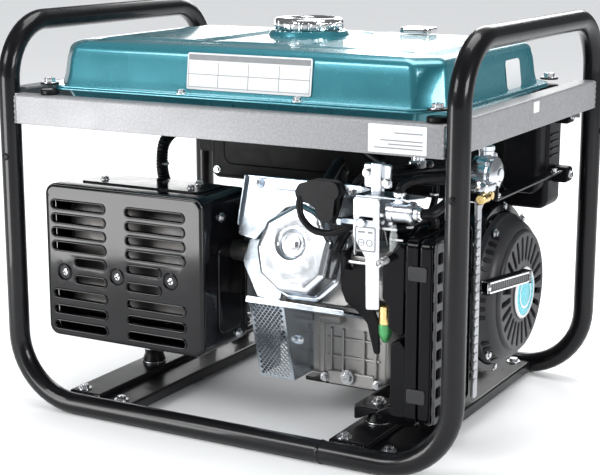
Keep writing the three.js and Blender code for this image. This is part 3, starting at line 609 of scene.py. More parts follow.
# The record's material for each finish.
SLOTS = {
    FRAME_PAINT: "frame_paint", RUBBER: "rubber", BAR_PAINT: "bar_paint", BOLT_ZINC: "zinc_plate",
    TANK_PAINT: "tank_paint", ZINC: "zinc_plate", ORANGE_PLASTIC: "orange_plastic",
    CHROME: "chrome_trim", LABEL: "white_plate", LABEL_GREY: "black_plastic", CLEAR: "white_plate",
    GLOSS_ENAMEL: "gloss_enamel", HOT_STEEL: "exhaust_steel", STEEL: "machined_steel",
    BRIGHT_CAST: "polished_aluminium", CAST: "cast_aluminium", WHITE_PLATE: "white_plate",
    BLACK_PLASTIC: "black_plastic", BRASS: "brass_fitting", GREEN_ANODISE: "brass_fitting",
    GLOSS_PLASTIC: "gloss_plastic", GREY_PLASTIC: "grey_plastic", LABEL_METAL: "zinc_plate",
    BADGE: "blue_plastic", GRIP: "grip_plastic", LAMINATION: "machined_steel",
    WINDING: "copper_winding", PANEL_PAINT: "panel_paint", BLUE_PLASTIC: "blue_plastic",
    RED_PLASTIC: "orange_plastic",
}


# ---- frame ----

LEFT, RIGHT = Span("left_hoop"), Span("right_hoop")
POST_X, POST_Y = RIGHT.x1 - TUBE, RIGHT.y1 - TUBE
TOP_Z = RIGHT.z1 - TUBE


def weld(path, width=2.6):
    """A weld bead: a flattened section whose size ripples evenly along its run."""
    path = flowing(path, 24)
    ripple = 1 + 0.16 * np.cos(np.arange(len(path)) * 1.25)
    section = ring(width, 10) * (1, 0.75)
    return carried(path, section, ripple)


def frame_tubes():
    """Each hoop is a circle carried along straight runs and bends; a rippled bead covers the seams."""
    for name, side in (("left", -1), ("right", 1)):
        x, y, mid = side * POST_X, POST_Y, TOP_Z / 2
        start = bends([[SEAM_X, -y, TUBE], [x, -y, TUBE], [x, -y, mid]], LOWER_BEND)
        over = bends([[x, -y, mid], [x, -y, TOP_Z], [x, y, TOP_Z], [x, y, mid]], UPPER_BEND)
        finish_run = bends([[x, y, mid], [x, y, TUBE], [SEAM_X, y, TUBE]], LOWER_BEND)
        path = np.vstack([start[:-1], over[1:-1], finish_run[1:]])
        build(f"{name}_tube", carried(path, ring(TUBE, 40)), FRAME_PAINT, replaces=[f"{name}_hoop"])
    turn = np.linspace(0, TAU, 61)[:-1]
    beads = []
    for y in (-POST_Y, POST_Y):
        circle = np.stack([np.full(60, SEAM_X), y + TUBE * np.cos(turn), TUBE + (TUBE - 0.9) * np.sin(turn)],
            1)
        beads.append(carried(circle, ring(1.7, 8) * (1, 1.6), 1 + 0.1 * np.cos(turn * 20), loop=True))
    build("seam_welds", join(*beads), FRAME_PAINT)
    plug = join(turned([(5.2, -1.5), (5.2, 0.4), (4.4, 1.5), (2.0, 2.2), (0.6, 2.3)], 20))
    build("tube_plugs", join(
        to_front(plug, (POST_X, RIGHT.y0 + 0.3, 352)), to_right(plug, (RIGHT.x1 - 0.3, POST_Y, 372)),
        to_front(plug, (-POST_X, RIGHT.y0 + 0.3, 352)), to_left(plug, (LEFT.x0 + 0.3, POST_Y, 372)),
    ), RUBBER)


def tank_bars():
    """Angle irons: an L outline with soft corners, drawn along its run, and a bead where each meets its
    post."""
    thick = 3.0
    front, left, right, rear = (Span(f"{n}_tank_bar") for n in ("front", "left", "right", "rear"))

    def angle(face, tip, low, top):
        """The L from its upright's outer face to the tip of its level leg."""
        sign = 1 if tip > face else -1
        corners = [(face, low, 0.9), (face + sign * thick, low, 0.9),
            (face + sign * thick, top - thick, 1.5), (tip, top - thick, 0.9), (tip, top, 0.9),
            (face, top, 2.8)]
        return rounded(corners if sign > 0 else corners[::-1], 1.0, 4)

    runs = [("front", "right", angle(front.y0, front.y1, front.z0, front.z1), front.x0, front.x1),
            ("rear", "right", angle(rear.y1, rear.y0, rear.z0, rear.z1), rear.x0, rear.x1),
            ("left", "front", angle(left.x0, left.x1, left.z0, left.z1), -left.y1, -left.y0),
            ("right", "front", angle(right.x1, right.x0, right.z0, right.z1), -right.y1, -right.y0)]
    for name, side, outline, w0, w1 in runs:
        build(f"{name}_bar", facing(side, slab(outline, w0, w1, 0.4, 2)), BAR_PAINT,
            replaces=[f"{name}_tank_bar"])
    beads = []
    for x in (front.x0 + 0.5, front.x1 - 0.5):
        beads.append(weld([(x, front.y0 + 1, front.z0 + 1), (x, front.y0 + 1, front.z1 - 2)]))
        beads.append(weld([(x, front.y0 + 3, front.z1 - 0.5), (x, front.y1 - 2, front.z1 - 0.5)], 2.0))
    for x in (left.x0 + 1, right.x1 - 1):
        for y in (left.y0 + 0.5, left.y1 - 0.5):
            beads.append(weld([(x, y, left.z0 + 1), (x, y, left.z1 - 2)]))
    build("bar_welds", join(*beads), BAR_PAINT)


def cross_rails():
    """Stepped floor rails: a thin folded section with soft folds, drawn from front to back, with its
    bolts."""
    for name in ("left", "right"):
        rail = Span(f"{name}_cross_rail")
        sheet, low, step = 2.5, rail.z1 - 7.0, rail.x0 + 49.5
        section = rounded([(rail.x0, rail.z0, 0.8), (rail.x0 + sheet, rail.z0, 0.8),
            (rail.x0 + sheet, rail.z1 - sheet, 1.2), (step, rail.z1 - sheet, 1.2), (step, low - sheet, 1.2),
            (rail.x1 - sheet, low - sheet, 1.2), (rail.x1 - sheet, rail.z0, 0.8), (rail.x1, rail.z0, 0.8),
            (rail.x1, low, 3.2), (step + sheet, low, 2.0), (step + sheet, rail.z1, 2.6),
            (rail.x0, rail.z1, 3.4)], 1.0, 4)
        build(f"{name}_rail", to_front(slab(section, -rail.y1, -rail.y0, 0.4, 2)), FRAME_PAINT,
              replaces=[f"{name}_cross_rail"])
        places = [(rail.x0 + 16, y, rail.z1) for y in (rail.y0 + 12, rail.y1 - 12)]
        places += [(rail.x1 - 22, y, low) for y in (rail.y0 + 12, rail.y1 - 12)]
        build(f"{name}_rail_bolts", copies(hex_bolt(11.0, 0.9, 5.0, 10.0), places), BOLT_ZINC)
        ends = [weld([(rail.x0 + 4, y, rail.z1 - 4), (rail.x0 + 46, y, rail.z1 - 4)], 2.2)
            for y in (rail.y0 - 0.5, rail.y1 + 0.5)]
        build(f"{name}_rail_welds", join(*ends), FRAME_PAINT)


# ---- fuel tank ----

UPPER, LOWER = Span("fuel_tank_upper"), Span("fuel_tank_lower")
CAP, GAUGE = Span("fuel_cap"), Span("fuel_gauge_housing")
FLANGE = 14.0  # how far the seam's flange stands out at the ends
TANK_TOP = UPPER.z1 - 17.0


def tank_outline(depth, left=None, corner=30.0, soft=13.0):
    """The tank's plan with cut, softened corners, moved inwards by depth, or by left at its left end."""
    left = depth if left is None else left
    x0, x1 = UPPER.x0 + FLANGE + left, UPPER.x1 - FLANGE - depth
    y0, y1 = UPPER.y0 + FLANGE + 7 + depth, UPPER.y1 - FLANGE - depth
    room = min(y1 - y0, x1 - x0) / 2
    c, r = min(corner, room * 0.6), min(soft, room * 0.4)
    corners = [(x0 + c, y0), (x1 - c, y0), (x1, y0 + c), (x1, y1 - c), (x1 - c, y1), (x0 + c, y1),
        (x0, y1 - c), (x0, y0 + c)]
    return rounded(corners, r, 5, 22)


def raised(x, y, x0, x1, y0, y1, slope=13.0):
    """How far each point lies inside a rectangle, as a smooth step over the slope."""
    inner = np.minimum(np.minimum(x - x0, x1 - x), np.minimum(y - y0, y1 - y))
    share = np.clip(inner / slope, 0, 1)
    return share * share * (3 - 2 * share)


def tank_shells():
    """The upper shell's side leans in, then turns into the top through a quarter ellipse; the top is crowned
    by a parabola, with two raised panels. The lower shell tapers to a floor. Both end in a folded flange."""
    seam, wall_top = LOWER.z1 + 0.2, TANK_TOP - 17
    shoulder = np.linspace(0, math.pi / 2, 9)
    steps = [(0.0, seam), (0.8, seam + 1.5), (3.5, seam + 14), (6.0, wall_top - 8)]
    steps += [(8 + 17 * (1 - math.cos(t)), wall_top + 14 * math.sin(t)) for t in shoulder]
    outlines = [tank_outline(d) for d, _ in steps]
    centre = outlines[-1].mean(0)
    shares = np.linspace(0.975, 0.01, 52)
    heights = [h for _, h in steps] + [TANK_TOP - 3 + 1.5 * min(1.0, (1 - k) * 8) for k in shares]
    outlines += [centre + (outlines[-1] - centre) * k for k in shares]
    rings = np.array([np.column_stack([o, np.full(len(o), h)]) for o, h in zip(outlines, heights)])
    x, y = rings[:, :, 0], rings[:, :, 1]
    top = np.clip((rings[:, :, 2] - wall_top - 12) / 2, 0, 1)
    panels = raised(x, y, UPPER.x0 + 62, CAP.x - 66, UPPER.y0 + 70, UPPER.y1 - 62)
    panels += raised(x, y, CAP.x + 66, UPPER.x1 - 62, UPPER.y0 + 70, UPPER.y1 - 62)
    panels += raised(x, y, CAP.x - 60, CAP.x + 60, UPPER.y0 + 70, UPPER.y1 - 62)
    crown = 1 - ((x - UPPER.x) / 290) ** 2
    rings[:, :, 2] += top * (2.2 * panels + 1.6 * crown)
    flange = slab(inset(tank_outline(0), -(FLANGE - 0.6)), seam - 0.2, seam + 2.4, 1.0, 3)
    build("tank_upper_shell", join(skin(rings), flange), TANK_PAINT, replaces=["fuel_tank_upper"])

    floor = LOWER.z0
    low = [(2.0, 2.0, seam - 1), (5.0, 8.0, seam - 12), (9.0, 24.0, floor + 26), (14.0, 44.0, floor + 14),
        (19.0, 52.0, floor + 7), (27.0, 61.0, floor + 1.5), (36.0, 70.0, floor)]
    rings = [np.column_stack([tank_outline(d, side), np.full(8 * 27, h)]) for d, side, h in low]
    body = skin(np.array(rings)[::-1])
    flange = slab(inset(tank_outline(0), -FLANGE), seam - 3.4, seam - 0.4, 1.2, 3)
    build("tank_lower_shell", join(body, flange), TANK_PAINT, replaces=["fuel_tank_lower"])


def tank_fittings():
    """The collar, neck and strainer under the cap, the corner bolts with their rubber washers, and nuts."""
    dish = turned([(56, -0.5), (54.5, 3.5), (52.5, 7.6), (50, 8.8), (46, 8.8), (44, 8.2), (43.5, 4)], 72)
    build("filler_collar", to_top(dish, (CAP.x, CAP.y, TANK_TOP)), TANK_PAINT)
    neck_top = CAP.z1 - 8.6
    neck = washer(29.8, 25.8, TANK_TOP - 4, neck_top, 0.8, 48)
    build("filler_neck", to_top(neck, (CAP.x, CAP.y, 0)), ZINC)
    spots = [(r * math.cos(t), r * math.sin(t)) for r, n in ((7, 6), (13.5, 12), (20, 18))
        for t in np.arange(n) / n * TAU]
    strainer = pierced(ring(25.6, 48), [ring(1.8, 8, s) for s in spots], 0, 1.0, 0.4, 0.3)
    build("fuel_strainer", to_top(strainer, (CAP.x, CAP.y, neck_top - 9)), ORANGE_PLASTIC)

    corners = [(UPPER.x0 + 26, UPPER.y0 + 10), (UPPER.x1 - 10, UPPER.y0 + 10), (UPPER.x1 - 12, UPPER.y1 - 8),
        (UPPER.x0 + 22, UPPER.y1 - 8)]
    seam = LOWER.z1 + 2.8
    bar_top = Span("front_tank_bar").z1
    build("tank_bolts", join(*[to_top(hex_bolt(13, 3.0, 6.0, 10.5), (x, y, seam)) for x, y in corners]),
        BOLT_ZINC)
    cushion = [pill(13, bar_top + 0.1, LOWER.z1 - 3.6, 1.6, 28), pill(12.5, seam + 0.1, seam + 2.6, 1.0, 28)]
    build("tank_cushions", join(*[to_top(join(*cushion), (x, y, 0)) for x, y in corners]), RUBBER)
    nuts = [(-60, UPPER.y0 + 9.5, seam - 0.3), (108, UPPER.y0 + 9.5, seam - 0.3)]
    build("flange_nuts", copies(hex_bolt(9, 0.9, 4.5, 7), nuts), BOLT_ZINC)


def cap_and_gauge():
    """The cap's skirt has shallow flutes: its radius dips by a sharpened cosine of the turn."""
    def flutes(turn):
        return 1 - 0.035 * np.clip(np.cos(turn * 24), 0, 1) ** 0.5

    h = CAP.z0
    skirt = turned([(46.6, h), (47.6, h + 1.2), (47.8, h + 9), (47.2, h + 11.5), (45.4, h + 13.4)], 288,
        flutes)
    lid = turned([(46.5, h + 10), (45.8, h + 13.6), (43.5, h + 15.3), (40, h + 15.9), (36.5, h + 15.4),
        (34.8, h + 14.0), (33, h + 13.4), (12, h + 13.2), (10.5, h + 13.9), (8, h + 14.1), (1, h + 14.1)],
        96)
    tab = slab(rounded([(-9, -6), (9, -6), (7, 6), (-7, 6)], 2.5), h + 4, h + 11, 1.5)
    tabs = [to_top(tab, (CAP.x + s * 49.5 * math.cos(0.25), CAP.y - s * 49.5 * math.sin(0.25), 0),
        s * math.pi / 2) for s in (-1, 1)]
    build("cap_shell", join(to_top(join(skirt, lid), (CAP.x, CAP.y, 0)), *tabs), CHROME, "fuel_cap",
        ["fuel_cap"])

    h = GAUGE.z0
    outer = oblong(GAUGE.x0, GAUGE.x1, GAUGE.y0, GAUGE.y1, 9, 7)
    bezel = pierced(outer, [ring(12.8, 40, (GAUGE.x, GAUGE.y))], h + 8, 7.6, 2.6, 1.4, 4.2)
    build("gauge_bezel", bezel, CHROME, replaces=["fuel_gauge_housing"])
    build("gauge_dial", to_top(pill(13.2, h + 1.4, h + 2.4, 0.3, 40), (GAUGE.x, GAUGE.y, 0)), LABEL)
    marks = [to_top(slab(oblong(-0.6, 0.6, 8.5, 12.0, 0.3, 2), h + 2.3, h + 2.9, 0.1, 1),
        (GAUGE.x, GAUGE.y, 0), a) for a in np.linspace(-1.05, 1.05, 5)]
    build("gauge_marks", join(*marks), LABEL_GREY)
    lens = turned([(12.9, h + 5.6), (12.9, h + 6.4), (10.5, h + 7.3), (6, h + 7.9), (1, h + 8.0)], 40)
    build("gauge_lens", to_top(lens, (GAUGE.x, GAUGE.y, 0)), CLEAR, slot="chrome_trim")


def labels():
    """Blank plates and stickers: thin slabs with printed bars that say nothing."""
    y = UPPER.y0 + FLANGE + 7
    lean = 0.12
    up = (UPPER.z0 + LOWER.z1) / 2 + 7
    sheet = slab(oblong(-90, 90, 0, 46, 3, 3), 0, 0.6, 0.2, 1)
    lines = [oblong(-88, 88, 37, 44, 0.5, 1)] + [oblong(u, u + 0.8, 3, 35, 0.3, 1)
        for u in (-88, -44, 0, 44, 87)]
    lines += [oblong(-88, 88, v, v + 0.8, 0.3, 1) for v in (3, 19)]
    ink = join(*[slab(o, 0.5, 0.75, 0.05, 1) for o in lines])

    def leaning(patch, x, z):
        points, faces = patch
        w = points[:, 2] - lean * points[:, 1]
        return to_front((np.column_stack([points[:, :2], w]), faces), (x, y + 1.2, z))

    build("front_label", leaning(sheet, 30, up), LABEL)
    build("front_label_print", leaning(ink, 30, up), LABEL_GREY)
    bar = Span("front_tank_bar")
    plate = slab(oblong(bar.x1 - 96, bar.x1 - 21, bar.z0 + 2.5, bar.z1 - 3, 1.5, 3), -bar.y0, -bar.y0 + 0.7,
        0.2, 1)
    build("rating_plate", to_front(plate), LABEL)
    rows = [oblong(bar.x1 - w, bar.x1 - 26, bar.z0 + v, bar.z0 + v + 1.3, 0.4, 1)
        for w, v in ((88, 8), (70, 12.5), (80, 17), (62, 26))]
    build("rating_plate_print", to_front(join(*[slab(o, -bar.y0 + 0.6, -bar.y0 + 0.85, 0.05, 1)
        for o in rows])), LABEL_GREY)
    end = UPPER.x1 - FLANGE
    sticker = slab(oblong(7, 57, 0, 38, 6, 5), 0, 0.6, 0.2, 1)
    points, faces = sticker
    sloped = (np.column_stack([points[:, :2], points[:, 2] - lean * points[:, 1] - 1.2]), faces)
    build("side_label", to_right(sloped, (end, 0, up - 5)), LABEL)
    small = slab(oblong(-22, -2, 429, 443, 1.5, 3), 0, 0.6, 0.2, 1)
    build("bar_label", to_right(small, (Span("right_tank_bar").x1, 0, -3)), LABEL)


# ---- muffler ----

GUARD, SHIELD = Span("muffler_guard"), Span("muffler_shield")


def cup(outline, w0, w1, wall, edge):
    """A hollow prism open at w1: its outer wall with a rounded back rim, its front rim, and its inner
    wall."""
    turn = np.linspace(0, math.pi / 2, 5)
    shape = [(edge * (1 - math.sin(t)), w0 + edge * (1 - math.cos(t))) for t in turn]
    shape += [(0.0, w1 - 0.4), (0.3, w1), (wall - 0.3, w1), (wall, w1 - 0.4), (wall, w0 + wall)]
    return stacked([inset(outline, d) for d, _ in shape], [h for _, h in shape])


def muffler_guard():
    """The guard is one pressed sheet: slots with rolled-in rims, three screw dimples, a rounded rim and a
    skirt."""
    g = GUARD
    outline = oblong(g.x0, g.x1, g.z0, g.z1, 15, 8)
    slots = [(g.x0 + 12, g.x0 + 99, z) for z in (288, 269, 250, 231, 164, 142, 120)]
    slots += [(g.x0 + 134, g.x0 + 225, z) for z in (288, 269, 250, 231, 164, 142, 120)]
    slots += [(a, b, z) for z in (211, 187) for a, b in ((g.x0 + 49, g.x0 + 99), (g.x0 + 134, g.x0 + 187))]
    screws = [(g.x0 + 30.5, 195), (g.x0 + 117, 198), (g.x0 + 202.5, 202)]
    holes = [oblong(a, b, z - 5.2, z + 5.2, 5.1, 6) for a, b, z in slots] + [ring(9.2, 28, s)
        for s in screws]
    w = -g.y0
    sheet = pierced(outline, holes, w, 1.6, 5.5, 2.4, 5.0, skirt=g.y1 - g.y0, steps=4)
    dishes = [to_front(join(turned([(10.0, w - 5.2), (10.0, w - 4.0), (6, w - 3.4), (1, w - 3.3)], 24)),
        (x, 0, z)) for x, z in screws]
    rims = [to_front(pierced(oblong(a - 2.6, b + 2.6, z - 7.8, z + 7.8, 7.7, 6),
        [oblong(a, b, z - 5.2, z + 5.2, 5.1, 6)], w + 1.5, 2.0, 1.2, 1.0, steps=3)) for a, b, z in slots]
    collars = [to_front(turned([(12.4, w - 0.6), (12, w + 0.7), (10.8, w + 1.2), (9.6, w + 0.7),
        (9.0, w - 0.8), (8.8, w - 5)], 32), (x, 0, z)) for x, z in screws]
    build("guard_sheet", join(to_front(sheet), *dishes), GLOSS_ENAMEL, replaces=["muffler_guard"])
    build("guard_rims", join(*rims, *collars), GLOSS_ENAMEL)
    dome, cross = pan_screw(6.8, w - 3.4, 3.8)
    build("guard_screws", join(*[to_front(dome, (x, 0, z), 0.5) for x, z in screws]), BOLT_ZINC)
    # The near-black crosses are painted shade standing in for the screws' cross recesses.
    build("guard_screw_recess_shade", join(*[to_front(cross, (x, 0, z), 0.5) for x, z in screws]), RUBBER,
        slot="black_plastic")


def muffler_shield():
    """The rear half of the housing: an open cup with a stepped top, a side rib and its clamp bolts."""
    s = SHIELD
    outline = oblong(s.x0, s.x1, s.z0, s.z1, 13, 8)
    shell = to_front(cup(outline, -s.y1, -s.y0, 1.6, 10))
    tread = to_top(slab(oblong(s.x0 + 36, s.x1 - 26, s.y0 + 10, s.y1 - 16, 8), s.z1 - 1.0, s.z1 + 2.4, 2.2))
    rib = to_right(slab(oblong(s.y0 + 14, s.y1 - 22, s.z0 + 22, s.z1 - 66, 14, 7), s.x1 - 1.0, s.x1 + 2.6,
        2.4))
    tail_rib = to_left(slab(oblong(-s.y1 + 20, -s.y0 - 14, s.z0 + 22, s.z1 - 76, 14, 7), -s.x0 - 1.0,
        -s.x0 + 2.2, 2.0))
    build("shield_shell", join(shell, tread, rib, tail_rib), GLOSS_ENAMEL, replaces=["muffler_shield"])
    low, high = s.y0 + 8, s.z1 + 2.4
    bolts = [to_top(hex_bolt(8, 0, 4, 6.5), (x, y, high))
        for x, y in ((s.x0 + 60, low + 26), (s.x1 - 52, low + 26), (s.x1 - 60, s.y1 - 28))]
    bolts += [to_right(hex_bolt(8, 0, 4, 6.5), (s.x1 + 1.2, s.y0 + 24, s.z1 - 30)),
        to_right(hex_bolt(8, 0, 4, 6.5), (s.x1 + 1.2, s.y1 - 30, s.z0 + 14))]
    build("shield_bolts", join(*bolts), BOLT_ZINC)


def muffler_can():
    """The can is a soft-cornered oblong carried along X with rolled end seams; its pipes are turned on X."""
    m = Span("muffler_body")
    y0, y1, z0, z1 = m.y0, m.y1, m.z0, m.z1
    x0, x1 = m.x0 + 30, SHIELD.x1 - 17
    seam = [(x0, 3.0), (x0 + 1, 0.6), (x0 + 3, 0), (x0 + 7, 0), (x0 + 8, 2.2), (x0 + 10, 2.6)]
    seam += [(x1 - 10, 2.6), (x1 - 8, 2.2), (x1 - 7, 0), (x1 - 3, 0), (x1 - 1, 0.6), (x1, 3.0)]
    flat = oblong(y0, y1, z0, z1, 27, 9, 2)
    can = to_right(stacked([inset(flat, d) for _, d in seam], [x for x, _ in seam]))
    inlet = to_right(turned([(14, x1 - 2), (14, m.x1 - 8), (13.6, m.x1 - 0.3), (11, m.x1 - 0.3)], 32),
        (0, -150, 236))
    flange = to_right(slab(rounded([(-24, -9), (0, -21), (24, -9), (24, 9), (0, 21), (-24, 9)], 8),
        m.x1 - 7.7, m.x1 - 0.4, 1.0), (0, -150, 236))
    tail = [(11, x0 + 4), (11, m.x0 + 1), (10.4, m.x0), (9, m.x0), (8.6, m.x0 + 1), (8.6, m.x0 + 12)]
    pipe = to_right(turned([(r, x) for r, x in tail[::-1]], 32), (0, -160, 272))
    points, faces = pipe
    pipe = (points, [f[:, ::-1] for f in faces])
    build("muffler_can", join(can, inlet, flange, pipe), HOT_STEEL, replaces=["muffler_body"])
    weave = turned([(8.9, -m.x0 - 3.4), (8.7, -m.x0 - 2.6), (1, -m.x0 - 2.2)], 24)
    build("spark_arrester", to_left(weave, (0, -160, 272)), STEEL)


# ---- engine ----

HEAD_LEFT, HEAD_RIGHT, MID = 45.0, 160.0, 102.0  # the fins' ends and the cylinder's middle, along X
DECK, HEAD = 168.0, 236.0  # along the cylinder's axis, from the crankshaft
PLUG = (MID + 10, 224.0)
COVER_X, COVER_N = 86.0, 5.0
COVER_SHAPE = [(-50, 34), (-61, -6), (-48, -44), (-14, -66), (32, -65), (58, -38), (63, 12), (44, 50),
    (0, 66)]


def seat(x, n, s):
    """A point given in the cylinder's own frame: along X, up square to its axis, and out along it."""
    return np.array([x, CRANK[1] + n * math.sin(SLANT) - s * math.cos(SLANT),
        CRANK[2] + n * math.cos(SLANT) + s * math.sin(SLANT)])


def rocker_cover():
    """A nine-sided casting: a foot flange, a leaning wall, a rounded shoulder, a raised rim and a shallow
    dish round the middle bolt. Its rings are insets of the outline at the heights of that profile."""
    base = rounded([(COVER_X + u, COVER_N + v) for u, v in COVER_SHAPE], 16, 9, 3)
    foot = [(1.0, HEAD + 0.4), (0, HEAD + 1.4), (0, HEAD + 9.0), (0.6, HEAD + 10.6), (2.2, HEAD + 11.6),
        (4.4, HEAD + 12.2), (5.6, HEAD + 13.6)]
    turn = np.linspace(0, math.pi / 2, 9)
    wall = [(6.4, HEAD + 22), (7.4, HEAD + 30)] + [(7.6 + 9 * (1 - math.cos(t)),
        HEAD + 34 + 9.4 * math.sin(t)) for t in turn]
    shape = foot + wall
    outlines = [inset(base, d) for d, _ in shape]
    middle = np.array([COVER_X - 2, COVER_N + 3])
    last = outlines[-1]
    outlines += [middle + (last - middle) * k for k in (0.94, 0.85, 0.75, 0.65)]
    heights = [h for _, h in shape] + [HEAD + 43.5, HEAD + 43.6, HEAD + 43.6, HEAD + 43.5]
    angle = np.arctan2(last[:, 1] - middle[1], last[:, 0] - middle[0])
    boss = [(23, HEAD + 43.3), (20.5, HEAD + 42.7), (18.5, HEAD + 41.0), (17, HEAD + 38.0),
        (15, HEAD + 36.2), (11, HEAD + 35.8), (4, HEAD + 35.8)]
    outlines += [middle + np.stack([r * np.cos(angle), r * np.sin(angle)], 1) for r, _ in boss]
    heights += [h for _, h in boss]
    build("rocker_cover", leaning(stacked(outlines, heights)), BRIGHT_CAST, replaces=["valve_cover"])
    bolts = [facing("cylinder", hex_bolt(13, HEAD + 37, 6.5, 10.5), seat(COVER_X - 2, COVER_N + 3, 0))]
    build("rocker_cover_bolts", join(*bolts), BOLT_ZINC)


def fin_rows(levels, half, core, x0, x1):
    """Cooling fins: thin rounded plates at equal steps along the cylinder's axis, round a core."""
    plates = []
    for s in levels:
        outline = rounded([(x0, -half), (x1, -half), (x1, half), (x0, half)], 9, 5, 1)
        plates.append(slab(outline, s, s + 2.6, 1.0, 2))
    middle = (x0 + x1) / 2
    plates.append(slab(oblong(middle - core, middle + core, -core - 3, core + 3, 26, 8), levels[0] - 6,
        levels[-1] + 6, 1))
    return leaning(join(*plates))


def head_and_plug():
    """The head's fins are its rounded plates; the plug is a stack of turned steps and a hexagon."""
    rows = [DECK + 6 + 8.5 * i for i in range(7)]
    rim = leaning(slab(oblong(HEAD_LEFT, HEAD_RIGHT, -60, 60, 12, 6), HEAD - 6, HEAD - 0.2, 1.2))
    ports = [to_left(slab(oblong(-20, 20, -18, 18, 7), -HEAD_LEFT - 22, -HEAD_LEFT + 0.4, 1.5),
        seat(0, 0, 214) * (0, 1, 1)), to_right(slab(oblong(-18, 18, -17, 17, 6), HEAD_RIGHT - 22,
        HEAD_RIGHT + 1.5, 1.5), seat(0, 16, 214) * (0, 1, 1))]
    build("head_fins", join(fin_rows(rows, 59, 45, HEAD_LEFT, HEAD_RIGHT), rim, *ports), CAST,
        replaces=["cylinder_head"])
    x, s = PLUG
    shell = join(slab(hexagon(15), 61, 69, 1.0, 2), turned([(8, 60.4), (8, 62), (6.2, 69), (5, 71),
        (5, 89.5), (4, 90)], 24))
    points, faces = shell
    upright = (np.stack([x + points[:, 0], points[:, 2], s - points[:, 1]], 1), faces)
    build("plug_body", leaning(upright), WHITE_PLATE, replaces=["spark_plug"])


def cowls():
    """Galvanised cowls round the cylinder: folded plates with soft rims, a rolled bead and pressed
    stiffeners."""
    top = slab(oblong(-9, HEAD_RIGHT + 5, 121, 261, 8), 90, 91.6, 0.7, 2)
    bead = slab(oblong(2, HEAD_RIGHT - 6, 236, 250, 6), 91, 94.0, 1.8)
    press = slab(oblong(6, 60, 140, 222, 10), 91, 93.2, 1.8)
    x, s = PLUG
    collar = turned([(11, 90.5), (11, 93), (9.6, 94.2), (8.8, 93)], 28)
    collar = (collar[0] + (x, -s, 0), collar[1])

    def over(patch):
        """u stays X, v runs towards the crankshaft and w stands out from the cylinder's top."""
        points, faces = patch
        return leaning((np.stack([points[:, 0], points[:, 2], -points[:, 1]], 1), faces))

    def flipped(patch):
        points, faces = patch
        return (points * (1, -1, 1), [f[:, ::-1] for f in faces])

    side = [leaning(slab(rounded([(-9.4, 26), (-7.9, 26), (-7.9, 91), (-9.4, 91)], 0.5, 2), 124, 260, 0.5,
        1)), leaning(slab(rounded([(HEAD_RIGHT + 4, 67), (HEAD_RIGHT + 5.4, 67), (HEAD_RIGHT + 5.4, 91),
        (HEAD_RIGHT + 4, 91)], 0.5, 2), 124, 260, 0.5, 1))]
    lip = leaning(slab(rounded([(-9, 91), (-9, 14), (18, 10), (36, 36), (56, 56), (92, 66), (130, 52),
        (HEAD_RIGHT + 4, 42), (HEAD_RIGHT + 4, 91)], 3, 3), 252, 253.4, 0.5, 2))
    low_lip = leaning(slab(rounded([(2, 12), (-4, -20), (26, -62), (60, -66), (60, 12)], 6), 238, 239.4, 0.5,
        2))
    front_lip = leaning(slab(rounded([(30, 78), (HEAD_RIGHT + 4, 78), (HEAD_RIGHT + 4, 91), (30, 91)], 4),
        259.5, 261, 0.5, 2))
    plates = [over(flipped(p)) for p in (top, bead, press)] + [over(collar)]
    build("top_cowl", join(*plates, *side, lip, low_lip, front_lip), ZINC, replaces=["cylinder_shroud"])
    bolts = [facing("cylinder", hex_bolt(8, 261, 4, 6), seat(u, 84, 0)) for u in (10, 84, 150)]
    build("cowl_bolts", join(*bolts), BOLT_ZINC)
    under = slab(rounded([(22, -72), (HEAD_RIGHT + 4, -72), (HEAD_RIGHT + 4, -66), (22, -64)], 2), 150, 262,
        0.6, 2)
    wing = slab(rounded([(28, -20), (43.5, -30), (43.5, 56), (28, 60)], 3), 176, 234, 0.8, 2)
    build("side_cowls", join(leaning(under), leaning(wing)), ZINC)


CASE = [(-52, 40), (150, 40), (158, 70), (158, 190), (128, 244), (40, 262), (-34, 262), (-52, 120)]


